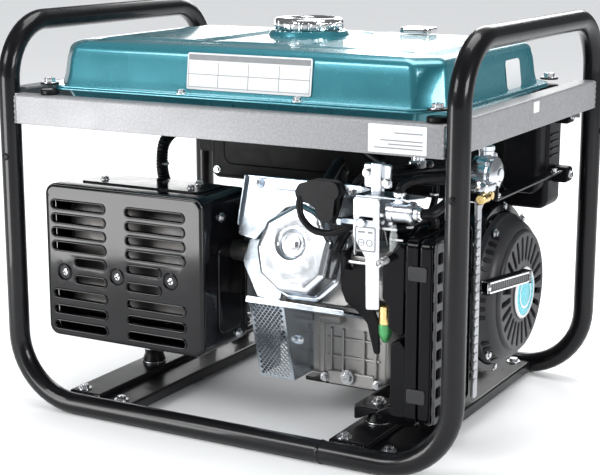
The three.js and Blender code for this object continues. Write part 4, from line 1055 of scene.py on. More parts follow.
def crankcase():
    """The case is its outline carried along X with a rounded rim, a bolted flange, ribs and feet; the
    barrel's fins follow it up the cylinder's axis. The cover at the left is a flange and a stepped bell."""
    outline = rounded(CASE, 16, 6, 2)
    body = to_right(slab(outline, 48, 150, 4, 4))
    flange = to_right(slab(inset(outline, -1.5), 47.5, 55, 1.2, 2))
    foot = to_top(slab(oblong(47, 149, -57, 149, 8), 40, 51.5, 2.5))
    ribs = [to_front(slab(oblong(x - 2, x + 2, 54, 118, 1.8, 3), 50, 56, 1.5, 2))
        for x in (66, 84, 116, 134)]
    web = [to_front(slab(oblong(60, 140, z - 2, z + 2, 1.8, 3), 50, 54.5, 1.4, 2)) for z in (78, 104)]
    boss = [to_front(turned([(9.5, 48), (9.5, 60), (8.5, 62), (1, 62)], 28), (94, 0, 52))]
    boss.append(to_front(slab(oblong(62, 134, 38.5, 58, 4), 50, 58, 2)))
    boss.append(to_right(turned([(9, 54), (9, 84), (7, 85.5), (1, 85.5)], 28), (0, -58, 134)))
    barrel = fin_rows([118 + 8.5 * i for i in range(6)], 59, 47, HEAD_LEFT, HEAD_RIGHT)
    filler = to_back(turned([(15, 148), (15, 168), (13.6, 171.5), (9, 171.5)], 28), (122, 0, 84))
    neck = leaning(slab(oblong(MID - 50, MID + 50, -52, 52, 20, 6), 56, 116, 3))
    build("crankcase_casting", join(body, flange, foot, *ribs, *web, *boss, barrel, filler, neck), CAST,
        replaces=["crankcase"])
    drain = to_front(hex_bolt(13, 62, 5, 10.5), (94, 0, 52))
    rim = [to_left(hex_bolt(9, -24, 4.5, 6.5), (0, v, z))
        for v, z in inset(rounded([(u * 0.97 + 2, v * 0.97 + 5) for u, v in CASE], 16, 6, 2), 9)[::18]]
    sump = [to_front(hex_bolt(9, 58.5, 4.5, 6.5), (x, 0, 46.5)) for x in (58, 138)]
    build("crankcase_bolts", join(drain, *rim, *sump), BOLT_ZINC)

    plate = to_right(slab(rounded([(u * 0.97 + 2, v * 0.97 + 5) for u, v in CASE], 16, 6, 2), 24.2, 45.4,
        2.5))
    bell = [(64, -17.8), (89, -17.8), (91, -15.8), (91, -8), (86, -4), (84, 12), (88, 22), (90, 26)]
    made = to_right(turned(bell, 72), CRANK_ORIGIN)
    bones = [to_right(slab(oblong(62, 90, -2, 2, 1.8, 3), -10, 26, 1.5, 2), CRANK_ORIGIN, a)
        for a in np.arange(12) / 12 * TAU]
    build("crankcase_cover_casting", join(plate, made, *bones), CAST, replaces=["crankcase_cover"])


def outlet_guard():
    """The outlet duct: a leaning front of staggered diamond holes between plain folded sides."""
    g = Span("outlet_mesh_guard")
    left, right = g.x0 + 8, g.x1 + 8
    foot, brow = np.array([left, -126.0, g.z0]), np.array([left, g.y0 + 1, g.z1 - 1.6])
    rise = brow - foot
    length = float(np.linalg.norm(rise))
    wide = g.x1 - g.x0
    holes, row = [], 0
    for v in np.arange(6.5, length - 4, 4.0):
        for u in np.arange(6.0 + 3.2 * (row % 2), wide - 4.5, 6.4):
            holes.append(ring(2.7, 4, (u, v)))
        row += 1
    sheet = pierced(oblong(0, wide, 0, length, 1.5, 3), holes, 0, 1.0, 0.5, 0.25, steps=1)
    mesh = facing(((1, 0, 0), tuple(rise / length)), sheet, tuple(foot))
    build("outlet_mesh", mesh, ZINC, replaces=["outlet_mesh_guard"])
    side = rounded([(-126, g.z0), (-71, g.z0), (-71, 152), (g.y0, g.z1)], 2.5, 3)
    walls = [to_right(slab(inset(side, 0.2), x, x + 1.4, 0.5, 1)) for x in (left, right - 1.4)]
    roof = facing(((1, 0, 0), (0, 0.973, -0.23)), slab(oblong(0, wide, 0, 86, 1, 2), -1.2, 0, 0.4, 1),
        (left, g.y0 + 1, g.z1 - 0.2))
    ear = to_front(slab(rounded([(right - 1, 106), (right + 9, 110), (right + 9, 117), (right - 1, 122)], 3),
        116, 117.5, 0.4, 1))
    build("outlet_duct_sides", join(*walls, roof, ear), ZINC)
    build("outlet_bolt", to_front(hex_bolt(6, 118, 3, 4.4), (right + 4.5, 0, 114)), BOLT_ZINC)


def choke_and_carburettor():
    """A thin bent panel with a hollow control knob, a printed box of bars, and the carburettor's turned and
    cast parts behind it with their springs, rods and screws."""
    p = Span("choke_panel")
    face = rounded([(214, 199), (213, 336), (178, 335), (178, 288), (195, 262), (196, 197)], 2.5, 3)
    slot_hole = oblong(186, 205, 309, 313, 1.9, 4)
    sheet = to_front(pierced(face, [slot_hole], -p.y0, 1.4, 0.5, 0.4, steps=2))
    fold = to_top(slab(oblong(178.4, 212.6, p.y0 + 0.6, p.y1, 2), p.z1 - 1.4, p.z1, 0.5, 2))
    flank = to_right(slab(rounded([(p.y0 + 1, 262), (p.y0 + 16, 270), (p.y0 + 16, 334), (p.y0 + 1, 334)], 2),
        178.4, 179.8, 0.4, 1))
    build("choke_plate", join(sheet, fold, flank), WHITE_PLATE, replaces=["choke_panel"])
    w = -p.y0
    frame_line = pierced(oblong(180.5, 208.5, 270, 301, 2.5, 4), [oblong(182, 207, 271.5, 299.5, 2, 4)],
        w + 0.25, 0.4, 0.08, 0.08, steps=1)
    marks = [slab(oblong(185, 194, 293, 295, 0.4, 1), w, w + 0.25, 0.05, 1),
        slab(oblong(198, 204, 293, 295, 0.4, 1), w, w + 0.25, 0.05, 1)]
    marks += [pierced(ring(4.4, 24, (x, 281)), [ring(3.5, 24, (x, 281))], w + 0.25, 0.4, 0.08, 0.08, steps=1)
        for x in (189, 200)]
    marks.append(slab(oblong(185.4, 192.6, 280.6, 281.5, 0.2, 1), w, w + 0.25, 0.05, 1))
    build("choke_plate_print", to_front(join(frame_line, *marks)), LABEL_GREY)
    lever = Span("choke_lever")
    arm = to_front(slab(oblong(lever.x0 + 1, 196, 303, 309, 2.8, 5), 213.2, 215.2, 0.5, 2))
    knob = to_front(turned([(5.6, 212.6), (6, 213.4), (6, 216.6), (5.2, 217.4), (1, 217.4)], 24),
        (190, 0, 306))
    tab = to_left(slab(oblong(214, 226, 302, 311, 2.5, 5), -168, -162, 1.2))
    build("choke_arm", join(arm, knob, tab), ZINC, "choke_lever", ["choke_lever"])

    y, z = -176, 252
    throat = to_right(turned([(16, 160.4), (16, 166), (13.5, 167), (13.5, 188), (13, 236), (15.5, 238),
        (15.5, 246.4), (11, 246.4)], 36), (0, y, z))
    block = to_right(slab(oblong(-200, -152, 231, 273, 7, 5), 188.5, 237.5, 3.0))
    bowl = to_under(turned([(21, -232), (22, -230), (22, -227), (20.4, -226), (20.4, -211), (17, -205.5),
        (9, -202.6), (1, -202.2)], 40), (212, y, 0))
    stub = to_front(turned([(7, 198), (7, 205), (5, 206.4), (1, 206.4)], 24), (200, 0, 244))
    build("carburettor_casting", join(throat, block, bowl, stub), CAST, replaces=["carburetor"])
    flanges = [to_right(slab(rounded([(-30, -8), (0, -18), (30, -8), (30, 8), (0, 18), (-30, 8)], 7), a, b,
        1), (0, y, z)) for a, b in ((160.6, 165), (240, 245.6))]
    build("carburettor_flanges", join(*flanges), BLACK_PLASTIC)
    screws = [to_front(hex_bolt(6, 200, 3.0), (x, 0, q)) for x, q in ((196, 266), (232, 266), (232, 238))]
    stud = [to_right(turned([(2.6, 160), (2.6, 252), (1, 253)], 12), (0, q, z)) for q in (y - 23, y + 23)]
    build("carburettor_screws", join(*screws, *stud), BOLT_ZINC)
    springs = [to_front(coil(4, 0.7, 9, 0, 26), (222, -206, 262)),
        to_right(coil(3.4, 0.6, 14, 166, 204), (0, -196, 292))]
    rods = [carried(flowing([(112, -96, 300), (150, -150, 318), (184, -186, 322), (206, -190, 300),
        (214, -190, 276)]), ring(1.3, 8)), carried(flowing([(150, -110, 322), (180, -160, 330),
        (206, -188, 318), (226, -190, 300)]), ring(1.1, 8)),
        carried(flowing([(196, -186, 366), (197, -188, 352), (197, -188, 338), (199, -186, 330)]),
        ring(1.4, 8))]
    build("throttle_rods", join(*springs, *rods), STEEL)

    s = Span("fuel_solenoid")
    x, y = s.x + 3, s.y
    tip = to_under(turned([(8.6, -174), (8.8, -173), (8.8, -163), (6.6, -156), (3, -150.6), (0.8, -150.2)],
        28), (x, y, 0))
    can = to_under(turned([(7.6, -198), (8.6, -197), (8.6, -175), (8.0, -174)], 28), (x, y, 0))
    build("solenoid_can", can, BRASS, replaces=["fuel_solenoid"])
    build("solenoid_tip", tip, GREEN_ANODISE)


def gas_valve():
    """The gas valve over the carburettor: a turned barrel with a slanted bracket, its hoses, clips and
    ties."""
    at = (0, -196, 320)
    barrel = turned([(12.5, 219), (14, 220.5), (14, 227), (12.6, 228), (12.6, 246), (14.2, 247), (14.2, 251),
        (10, 252.5), (8, 253), (8, 262), (6, 263), (1, 263)], 40)
    body = [to_right(barrel, at), to_top(turned([(6.5, 0), (6.5, 9), (8.4, 9.4), (8.4, 13), (5, 14.2),
        (1, 14.2)], 24), (232, -196, 331)), to_front(slab(rounded([(200, 296), (224, 298), (226, 334),
        (208, 336)], 4), 184, 198, 2))]
    build("gas_valve_body", join(*body), BRIGHT_CAST)
    screws = [to_front(hex_bolt(7, 198, 4), (x, 0, q)) for x, q in ((208, 305), (218, 326))]
    clamp = [to_right(turned([(9.4, 254), (9.9, 254.6), (9.9, 259), (9.4, 259.6)], 28), at)]
    build("gas_valve_screws", join(*screws, *clamp), BOLT_ZINC)
    plate = to_top(slab(rounded([(176, -208), (248, -206), (262, -176), (180, -164)], 5), 336.4, 338.0, 0.5,
        2))
    build("valve_cover_plate", plate, ZINC)
    lines = [hose([(262, -196, 320), (274, -190, 322), (281, -170, 330), (281, -130, 340), (281, -95, 342),
        (281, -88, 341)], 6.5, 10), hose([(232, -196, 345), (234, -190, 352), (244, -170, 356),
        (262, -130, 356), (272, -80, 360), (278, -50, 366)], 5.5, 10),
        hose([(150, -150, 340), (166, -160, 352), (190, -166, 356), (222, -160, 354), (252, -140, 350),
        (268, -112, 350)], 5, 10), hose([(216, -190, 300), (224, -186, 296), (236, -176, 298),
        (246, -160, 304)], 4, 10), hose([(204, -178, 366), (212, -170, 360), (230, -158, 362),
        (250, -140, 364), (262, -120, 364)], 4, 10)]
    build("gas_hoses", join(*lines), RUBBER)
    cross = to_front(slab(oblong(178, 214, 344, 374, 3), 178, 184, 1.5))
    post = to_top(slab(oblong(190, 204, -190, -178, 2), 337, 376, 1))
    build("cable_bracket", join(cross, post), BRIGHT_CAST)
    bits = [to_front(hex_bolt(9, 184, 5, 7), (x, 0, z)) for x, z in ((183, 362), (209, 352))]
    build("cable_bracket_bolts", join(*bits), BOLT_ZINC)
    ties = [to_top(turned([(5.4, 0), (5.9, 0.4), (5.9, 2.4), (5.4, 2.8)], 20), (236, -176, 297), 0.2)]
    ties.append(to_front(slab(oblong(214, 234, 298, 301, 1, 2), 205, 206.2, 0.4, 1), spin=0.0))
    ties.append(to_front(slab(oblong(224, 242, 286, 288.6, 1, 2), 205, 206.2, 0.4, 1)))
    bottle = to_top(turned([(4.6, 272), (5, 273), (5, 292), (3.2, 296), (3.2, 304), (1, 304)], 24),
        (228, -203, 0))
    build("cable_ties", join(*ties), LABEL)
    build("drain_bottle", bottle, CLEAR)
    flap = rounded([(148, 262), (149, 212), (156, 196), (172, 186), (186, 172), (196, 134), (204, 134),
        (202, 176), (192, 200), (188, 262)], 4)
    build("heat_flap", to_front(slab(flap, 184, 188.5, 1.6)), BLACK_PLASTIC)


def air_cleaner():
    """Two moulded trays with soft corners; the case has ribs and latches, the cover a raised panel."""
    case, cover = Span("air_cleaner_case"), Span("air_cleaner_cover")
    outline = oblong(case.y0, case.y1, case.z0, case.z1, 12, 8)
    body = to_right(slab(outline, case.x0 + 1, case.x1 - 1, 3.5, 5))
    rim = to_right(slab(inset(outline, -0.2), case.x1 - 5, case.x1, 1.0))
    ribs = [to_front(slab(oblong(case.x0 + 4, case.x1 - 6, z, z + 3, 1.4, 3), -case.y0 - 1.5, -case.y0 - 0.2,
        0.6, 2)) for z in np.arange(78, 276, 12)]
    boot = to_left(slab(oblong(-case.y0 - 66, -case.y0 - 6, 214, 284, 14, 6), -case.x0 - 1, -case.x0 + 6, 3),
        (0, 0, 0))
    build("cleaner_case", join(body, rim, *ribs, boot), GLOSS_PLASTIC,
        replaces=["air_cleaner_case", "air_filter_element"])
    lid = to_right(slab(outline, cover.x0, cover.x1 - 2, 5, 5))
    panel = to_right(slab(inset(outline, 14), cover.x1 - 4, cover.x1 - 0.2, 3, 4))
    lines = [to_right(slab(oblong(case.y0 + 24, case.y1 - 24, z, z + 4, 1.9, 4), cover.x1 - 1.4,
        cover.x1 + 0.8, 0.9, 2)) for z in (110, 128, 222, 240)]
    build("cleaner_cover", join(lid, panel, *lines), GLOSS_PLASTIC, "air_cleaner_cover",
        ["air_cleaner_cover"])
    clips = []
    for y, side in ((case.y0, "front"), (case.y1, "back")):
        for z in (96, 250):
            w = -y if side == "front" else y
            sign = 1 if side == "front" else -1
            u0, u1 = sorted((sign * (case.x1 - 12), sign * (cover.x0 + 12)))
            clips.append(facing(side, slab(oblong(u0, u1, z - 9, z + 9, 3), w - 0.5, w + 2.2, 0.8)))
    build("cleaner_clips", join(*clips), GREY_PLASTIC)
    holder = to_front(slab(rounded([(224, 60), (246, 60), (246, 150), (238, 160), (224, 156)], 5), 176, 200,
        2.5))
    arm = to_front(slab(rounded([(190, 40), (246, 40), (246, 62), (206, 62), (190, 52)], 4), 150, 172, 2.0))
    build("cleaner_bracket", join(holder, arm), GLOSS_PLASTIC)
    shape = rounded([(224, 176), (245, 166), (246, 280), (238, 284), (216, 262), (216, 212), (224, 204)], 4)
    panel = to_front(slab(shape, 200, 208, 3, 4))
    build("intake_panel", panel, GLOSS_PLASTIC)
    slots = [oblong(-205, -190, z, z + 14, 2.5, 4) for z in np.arange(70, 270, 24)]
    strip = pierced(oblong(-209, -184, 62, 288, 4, 5), slots, cover.x1 + 2.4, 3, 1.2, 0.8, steps=2)
    build("cleaner_side_strip", to_right(strip), GREY_PLASTIC, "air_cleaner_cover")


def blower():
    """The blower housing is a spun shell with a rounded shoulder, a stepped flange, a chin towards the
    cylinder and a tall stiffened guard strip at its front edge."""
    b = Span("blower_housing")
    shell = turned([(104, 168.6), (110, 172), (112, 200), (114.5, 240), (117, 252), (117.5, 258),
        (115, 261.4), (106, 261.8), (104, 258), (103.5, 240)], 96)
    chin = slab(rounded([(CRANK[1] - 149, 153), (CRANK[1], 153), (CRANK[1], 279), (CRANK[1] - 149, 279)], 22,
        7), 169, 219, 8, 5)
    bolts = [(CRANK[1] + 112 * math.cos(a), CRANK[2] + 112 * math.sin(a))
        for a in (0.5, 1.4, 2.4, 3.6, 4.7, 5.8)]
    ears = [slab(ring(7, 20, p), 240, 259.6, 1.5) for p in bolts]
    build("blower_shell", join(to_right(shell, CRANK_ORIGIN), to_right(join(chin, *ears))), GLOSS_ENAMEL,
        replaces=["blower_housing"])
    heads = [to_right(hex_bolt(8, 259.6, 3.4, 6), (0, *p)) for p in bolts]
    build("blower_bolts", join(*heads), BOLT_ZINC)
    edge = []
    for z in np.arange(84, 300, 11.5):
        edge.append(slab(oblong(-94.5, -84, z, z + 5.5, 1.5, 3), 288, 293.6, 1.2, 2))
    strip = slab(oblong(-92, -80, 62, 318, 4, 5), 287, 292.5, 1.8)
    stay = slab(rounded([(-92, 300), (-80, 300), (-60, 318), (-60, 322), (-92, 322)], 3), 286.6, 289, 0.8, 2)
    build("guard_strip", to_right(join(strip, stay, *edge)), LABEL_METAL)


def recoil():
    """The starter's cover: a spun shell whose face carries a ring of radial slots and whose side carries
    groups of leaning near-black oblongs, painted shade standing in for slot openings; a blank badge sits in
    the middle."""
    c = Span("recoil_cover")
    y, z = CRANK[1], CRANK[2]
    face = ring(84, 120)
    holes = []
    for i in range(24):
        a = i / 24 * TAU + 0.06
        hole = oblong(43, 75, -3.4, 3.4, 3.3, 4)
        holes.append(np.stack([hole[:, 0] * math.cos(a) - hole[:, 1] * math.sin(a),
            hole[:, 0] * math.sin(a) + hole[:, 1] * math.cos(a)], 1))
    top = pierced(face, holes, c.x1, 2.6, 5, 1.5, 5, skirt=5.2, steps=4)
    build("recoil_face", to_right(top, CRANK_ORIGIN), GREY_PLASTIC, replaces=["recoil_cover"])
    side = turned([(104, 262.6), (104, 268), (103, 271), (99, 274), (95, 283), (91, 288), (85, 291.6),
        (82, 292), (82, 288), (84, 284), (88, 280), (96, 266), (98, 263)], 96)
    build("recoil_side", to_right(side, CRANK_ORIGIN), GREY_PLASTIC)
    slots = []
    for low, count in ((2.15, 5), (2.95, 4), (3.75, 5), (5.2, 4), (0.2, 4)):
        for k in range(count):
            a = low + k * 0.125
            radial, along = np.array([0, math.cos(a), math.sin(a)]), np.array([0, -math.sin(a), math.cos(a)])
            lean = np.array([1.0, 0, 0]) - 0.75 * radial
            lean /= np.linalg.norm(lean)
            slots.append(facing((tuple(along), tuple(lean)),
                slab(oblong(-3.2, 3.2, -8, 8, 3.1, 4), -1.5, 0.35, 0.3, 1),
                (279, y + 97.2 * math.cos(a), z + 97.2 * math.sin(a))))
    # Near-black oblongs on the side: painted shade where the slots' openings would be dark.
    build("recoil_side_slot_shade", join(*slots), RUBBER, slot="black_plastic")
    rim = turned([(34, 296.5), (35.5, 298.4), (34, 300.2), (31.5, 300.6), (31, 299)], 72)
    disc = turned([(31.4, 296), (31.4, 299.2), (30, 299.8), (19, 300.2), (18, 300.7), (1, 301)], 72)
    mid = (0, y + 4, z - 3)
    build("badge_rim", to_right(rim, mid), LABEL)
    build("badge", to_right(disc, mid), BADGE)
    inner = to_right(turned([(21, 299.4), (21.8, 300.5), (20, 300.9), (18.8, 300.4)], 60), mid)
    build("badge_ring", inner, LABEL)
    lug = [to_right(hex_bolt(8, 276, 3.5, 7), (0, y + 100 * math.cos(a), z + 100 * math.sin(a)))
        for a in (1.1, 2.1, 4.0, 5.6)]
    build("recoil_bolts", join(*lug), BOLT_ZINC)
    d = Span("recoil_drum")
    spool = turned([(60, d.x0 + 0.4), (61.8, d.x0 + 1), (61.8, d.x0 + 4.4), (60, d.x0 + 5), (44, d.x0 + 5.4),
        (44, d.x1 - 5.4), (60, d.x1 - 5), (61.8, d.x1 - 4.4), (61.8, d.x1 - 1), (60, d.x1 - 0.4),
        (30, d.x1 - 0.6), (28, d.x1 - 2), (1, d.x1 - 2)], 72)
    build("rope_drum", to_right(spool, CRANK_ORIGIN), BLACK_PLASTIC, "recoil_drum", ["recoil_drum"])


def grip():
    """The pull grip: a bar with a textured insert between bright rims, and a ferrule on its inner side."""
    turn = math.radians(15)
    along = (math.sin(turn), math.cos(turn), 0.0)
    at = (305, -22, 204)
    sides = (along, (0, 0, 1))
    bar = slab(oblong(-47, 47, -8.5, 8.5, 5, 5), -6.5, 5.2, 2.2, 4)
    build("grip_bar", facing(sides, bar, at), BLACK_PLASTIC, "starter_grip", ["starter_grip"])
    rim = pierced(oblong(-46, 46, -7.8, 7.8, 4.5, 5), [oblong(-42.5, 42.5, -4.9, 4.9, 2.5, 4)], 6.6, 2.2,
        0.7, 0.6, steps=2)
    ends = [slab(oblong(a, b, -8.8, 8.8, 4, 5), -5, 6.9, 1.6) for a, b in ((-47.4, -42.6), (42.6, 47.4))]
    build("grip_rim", facing(sides, join(rim, *ends), at), CHROME, "starter_grip")
    build("grip_insert", facing(sides, slab(oblong(-42.8, 42.8, -5.1, 5.1, 2, 4), 2, 5.7, 0.6), at), GRIP,
        "starter_grip")
    stem = turned([(4, -304.6), (4, -301), (6.5, -299), (7, -297.8), (4, -297.5)], 24)
    build("grip_stem", to_left(stem, (0, -8, 204)), CHROME, "starter_grip")
    tip = turned([(6.2, 0), (7.6, 1.2), (7.6, 5), (5.5, 7.2), (1, 7.6)], 28)
    build("grip_ferrule", facing(((0, 0, 1), (math.cos(turn), -math.sin(turn), 0)), tip,
        tuple(np.array(at) - 47.2 * np.array(along))), CHROME, "starter_grip")


# ---- alternator and moving inner parts ----

def around(count, start=0.0):
    return start + np.arange(count) / count * TAU


def alternator():
    """The stator's laminations are a spun shell with fine steps; the castings at its ends are spun with ribs
    laid round them, and the end cover's slots are pierced through its face."""
    s, e = Span("stator_housing"), Span("alternator_end_cover")
    front = [(65, -31), (93, -31), (95, -29), (95, -20), (91, -18.6), (65, -18.6)]
    back = [(65, s.x0 + 0.4), (92, s.x0 + 0.4), (94.5, s.x0 + 2), (94.5, s.x0 + 16), (92, s.x0 + 18),
        (65, s.x0 + 18)]
    castings = [to_right(turned(p, 96), CRANK_ORIGIN) for p in (front, back)]
    for a in around(16, 0.1):
        castings.append(to_right(slab(oblong(88, 94.6, -2.5, 2.5, 1.5, 3), s.x0 + 2, s.x0 + 17, 1, 2),
            CRANK_ORIGIN, a))
        castings.append(to_right(slab(oblong(84, 93.8, -2.5, 2.5, 1.5, 3), -46, -20, 1, 2), CRANK_ORIGIN, a))
    legs = rounded([(s.y0, s.z0), (-38, s.z0), (-34, 84), (CRANK[1] - 40, 88), (CRANK[1] + 40, 88),
        (158, 84), (162, s.z0), (s.y1, s.z0), (s.y1, 62), (188, 90), (128, 118), (-4, 118), (-64, 90),
        (s.y0, 62)], 5, 4)
    castings.append(to_right(slab(legs, -225, -195, 2)))
    build("stator_castings", join(*castings), CAST, replaces=["stator_housing"])
    steps = [(66, s.x0 + 19)]
    for x in np.arange(s.x0 + 20, -48, 3.2):
        steps += [(89.4, x), (90, x + 0.4), (90, x + 2.2), (89.4, x + 2.6)]
    steps.append((66, -46))
    build("stator_core", to_right(turned(steps, 96), CRANK_ORIGIN), LAMINATION)
    bolts = [(CRANK[1] + 94 * math.cos(a), CRANK[2] + 94 * math.sin(a)) for a in around(4, 0.785)]
    rods = [to_right(turned([(3, s.x0 + 2), (3, -20)], 12), (0, *p)) for p in bolts]
    heads = [to_left(hex_bolt(9, -s.x0 - 0.5, 5, 7), (0, *p)) for p in bolts]
    feet = [to_top(hex_bolt(11, 0, 6, 9), (-210, y, 64)) for y in (-60, 184)]
    build("stator_bolts", join(*rods, *heads, *feet), BOLT_ZINC)

    holes = []
    for a in around(20):
        hole = oblong(42, 74, -3.6, 3.6, 3.4, 4)
        holes.append(np.stack([hole[:, 0] * math.cos(a) - hole[:, 1] * math.sin(a),
            hole[:, 0] * math.sin(a) + hole[:, 1] * math.cos(a)], 1))
    face = to_left(pierced(ring(86, 120), holes, -e.x0, 3, 7, 1.2, 6, skirt=8, steps=4), CRANK_ORIGIN)
    wall = [(93, -e.x1), (95, -e.x1 + 1), (95, -e.x1 + 30), (93, -e.x1 + 38), (86, -e.x0 - 6),
        (84, -e.x0 - 7), (82, -e.x0 - 9), (90, -e.x1 + 32), (91, -e.x1 + 0.4)]
    rim = to_left(turned(wall, 96), CRANK_ORIGIN)
    hub = to_left(turned([(30, -e.x0 - 1), (30, -e.x0 - 0.2), (27, -e.x0 + 0.0), (24, -e.x0 - 1.2),
        (1, -e.x0 - 1.2)], 60), CRANK_ORIGIN)
    ribs = [to_left(slab(oblong(84, 95.4, -3, 3, 1.5, 3), -e.x1 + 3, -e.x1 + 36, 1.2, 2), CRANK_ORIGIN, a)
        for a in around(12, 0.2)]
    build("end_cover_casting", join(face, rim, hub, *ribs), CAST, replaces=["alternator_end_cover"])


def moving_parts():
    """Turned shaft steps with round webs, wound and laminated rotor, flywheel with curved blades, and the
    piston."""
    shaft = to_right(turned([(12, -262), (16, -258), (16, -213), (24, -212.6), (24, -46), (16, -44),
        (16, 60), (20, 66), (20, 68)], 48), CRANK_ORIGIN)
    end = to_right(turned([(20, 136), (20, 140), (16, 146), (16, 232), (13, 236), (13, 249), (11, 250)], 48),
        CRANK_ORIGIN)
    webs = [to_right(pill(46, x, x + 16, 2.5, 64), CRANK_ORIGIN) for x in (68, 120)]
    pin = to_right(pill(15, 82, 122, 1, 32), (0, CRANK[1] - 30 * math.cos(SLANT),
        CRANK[2] + 30 * math.sin(SLANT)))
    build("shaft", join(shaft, end, *webs, pin), STEEL, "crank_train", ["crankshaft"])
    core = to_right(turned([(30, -206), (58, -206), (60.6, -203), (60.6, -110), (58, -107), (30, -107)], 72),
        CRANK_ORIGIN)
    build("rotor_core", core, LAMINATION, "crank_train", ["rotor"])
    wraps = [(30, -104)]
    for x in np.arange(-103, -52, 2.4):
        wraps += [(55, x), (56, x + 1.2)]
    wraps += [(50, -50), (28, -49)]
    build("rotor_winding", to_right(turned(wraps, 72), CRANK_ORIGIN), WINDING, "crank_train")
    disc = [(18, 196.4), (86, 196.4), (88, 198), (88, 214), (84, 217), (40, 217), (34, 220), (30, 228),
        (18, 229)]
    wheel = [to_right(turned(disc, 96), CRANK_ORIGIN)]
    blade = rounded([(46, -2), (86, 10), (87, 13), (84, 14), (45, 2)], 1, 3)
    wheel += [to_right(slab(blade, 214, 246.4, 1, 2), CRANK_ORIGIN, a) for a in around(16)]
    build("flywheel_casting", join(*wheel), CAST, "crank_train", ["flywheel"])
    nut = to_right(hex_bolt(22, 230, 14, 15), CRANK_ORIGIN)
    build("flywheel_nut", nut, BOLT_ZINC, "crank_train")
    grooves = [(41, 88), (43.6, 89), (43.6, 112), (43.6, 116), (42.4, 116.4), (42.4, 118), (43.6, 118.4),
        (43.6, 122), (42.4, 122.4), (42.4, 124), (43.6, 124.4), (43.6, 128), (42.4, 128.4), (42.4, 130),
        (43.6, 130.4), (43.6, 135), (42.6, 136), (1, 136)]
    build("piston_casting", facing("cylinder", turned(grooves, 64), seat(MID, 0, 0)), STEEL, "piston",
        ["piston"])


# ---- mounts, lines and controls ----

def mounts_and_cradle():
    """Mounts are turned barrels with a waist between bonded washers; the cradle is folded plate."""
    rubbers, plates = [], []
    for name in ("front_left", "rear_left", "front_right", "rear_right"):
        m = Span("rubber_mount_" + name)
        barrel = turned([(16, m.z0 + 1.4), (16.8, m.z0 + 3), (15, m.z0 + 8), (13.4, m.z0 + 12),
            (13.6, m.z0 + 17), (14.4, m.z1 - 1.6)], 40)
        rubbers.append(build(f"mount_rubber_{name}", to_top(barrel, (m.x, m.y, 0)), RUBBER,
            replaces=["rubber_mount_" + name]))
        plates += [to_top(pill(17, m.z0, m.z0 + 1.8, 0.6, 32), (m.x, m.y, 0)),
            to_top(pill(15, m.z1 - 2, m.z1 - 0.1, 0.6, 32), (m.x, m.y, 0))]
        plates.append(to_top(hex_bolt(12, 54.6, 6, 10),
            (m.x, m.y, 0)) if m.x > 0 else to_top(hex_bolt(12, 62, 6, 10), (m.x, m.y, 0)))
    build("mount_plates", join(*plates), BOLT_ZINC)
    c = Span("engine_cradle")
    cross = [to_top(slab(oblong(c.x0, 162, y0, y1, 5), c.z0, 39.5, 1.2))
        for y0, y1 in ((-48, -24), (120, 144))]
    wall = to_right(slab(oblong(c.y0, c.y1, c.z0, c.z1 - 0.2, 4), 156, 159.6, 0.8, 2))
    shelves = [to_top(slab(oblong(156, c.x1, y0, y1, 5), 50.4, 54, 1.2))
        for y0, y1 in ((-162, -118), (162, 206))]
    gusset = [to_front(slab(rounded([(159, 36), (163, 36), (192, 50.4), (159, 50.4)], 1.5, 2), w, w + 3, 0.8,
        1)) for w in (118, 159, -165, -206)]
    build("cradle_plates", join(*cross, wall, *shelves, *gusset), FRAME_PAINT, replaces=["engine_cradle"])


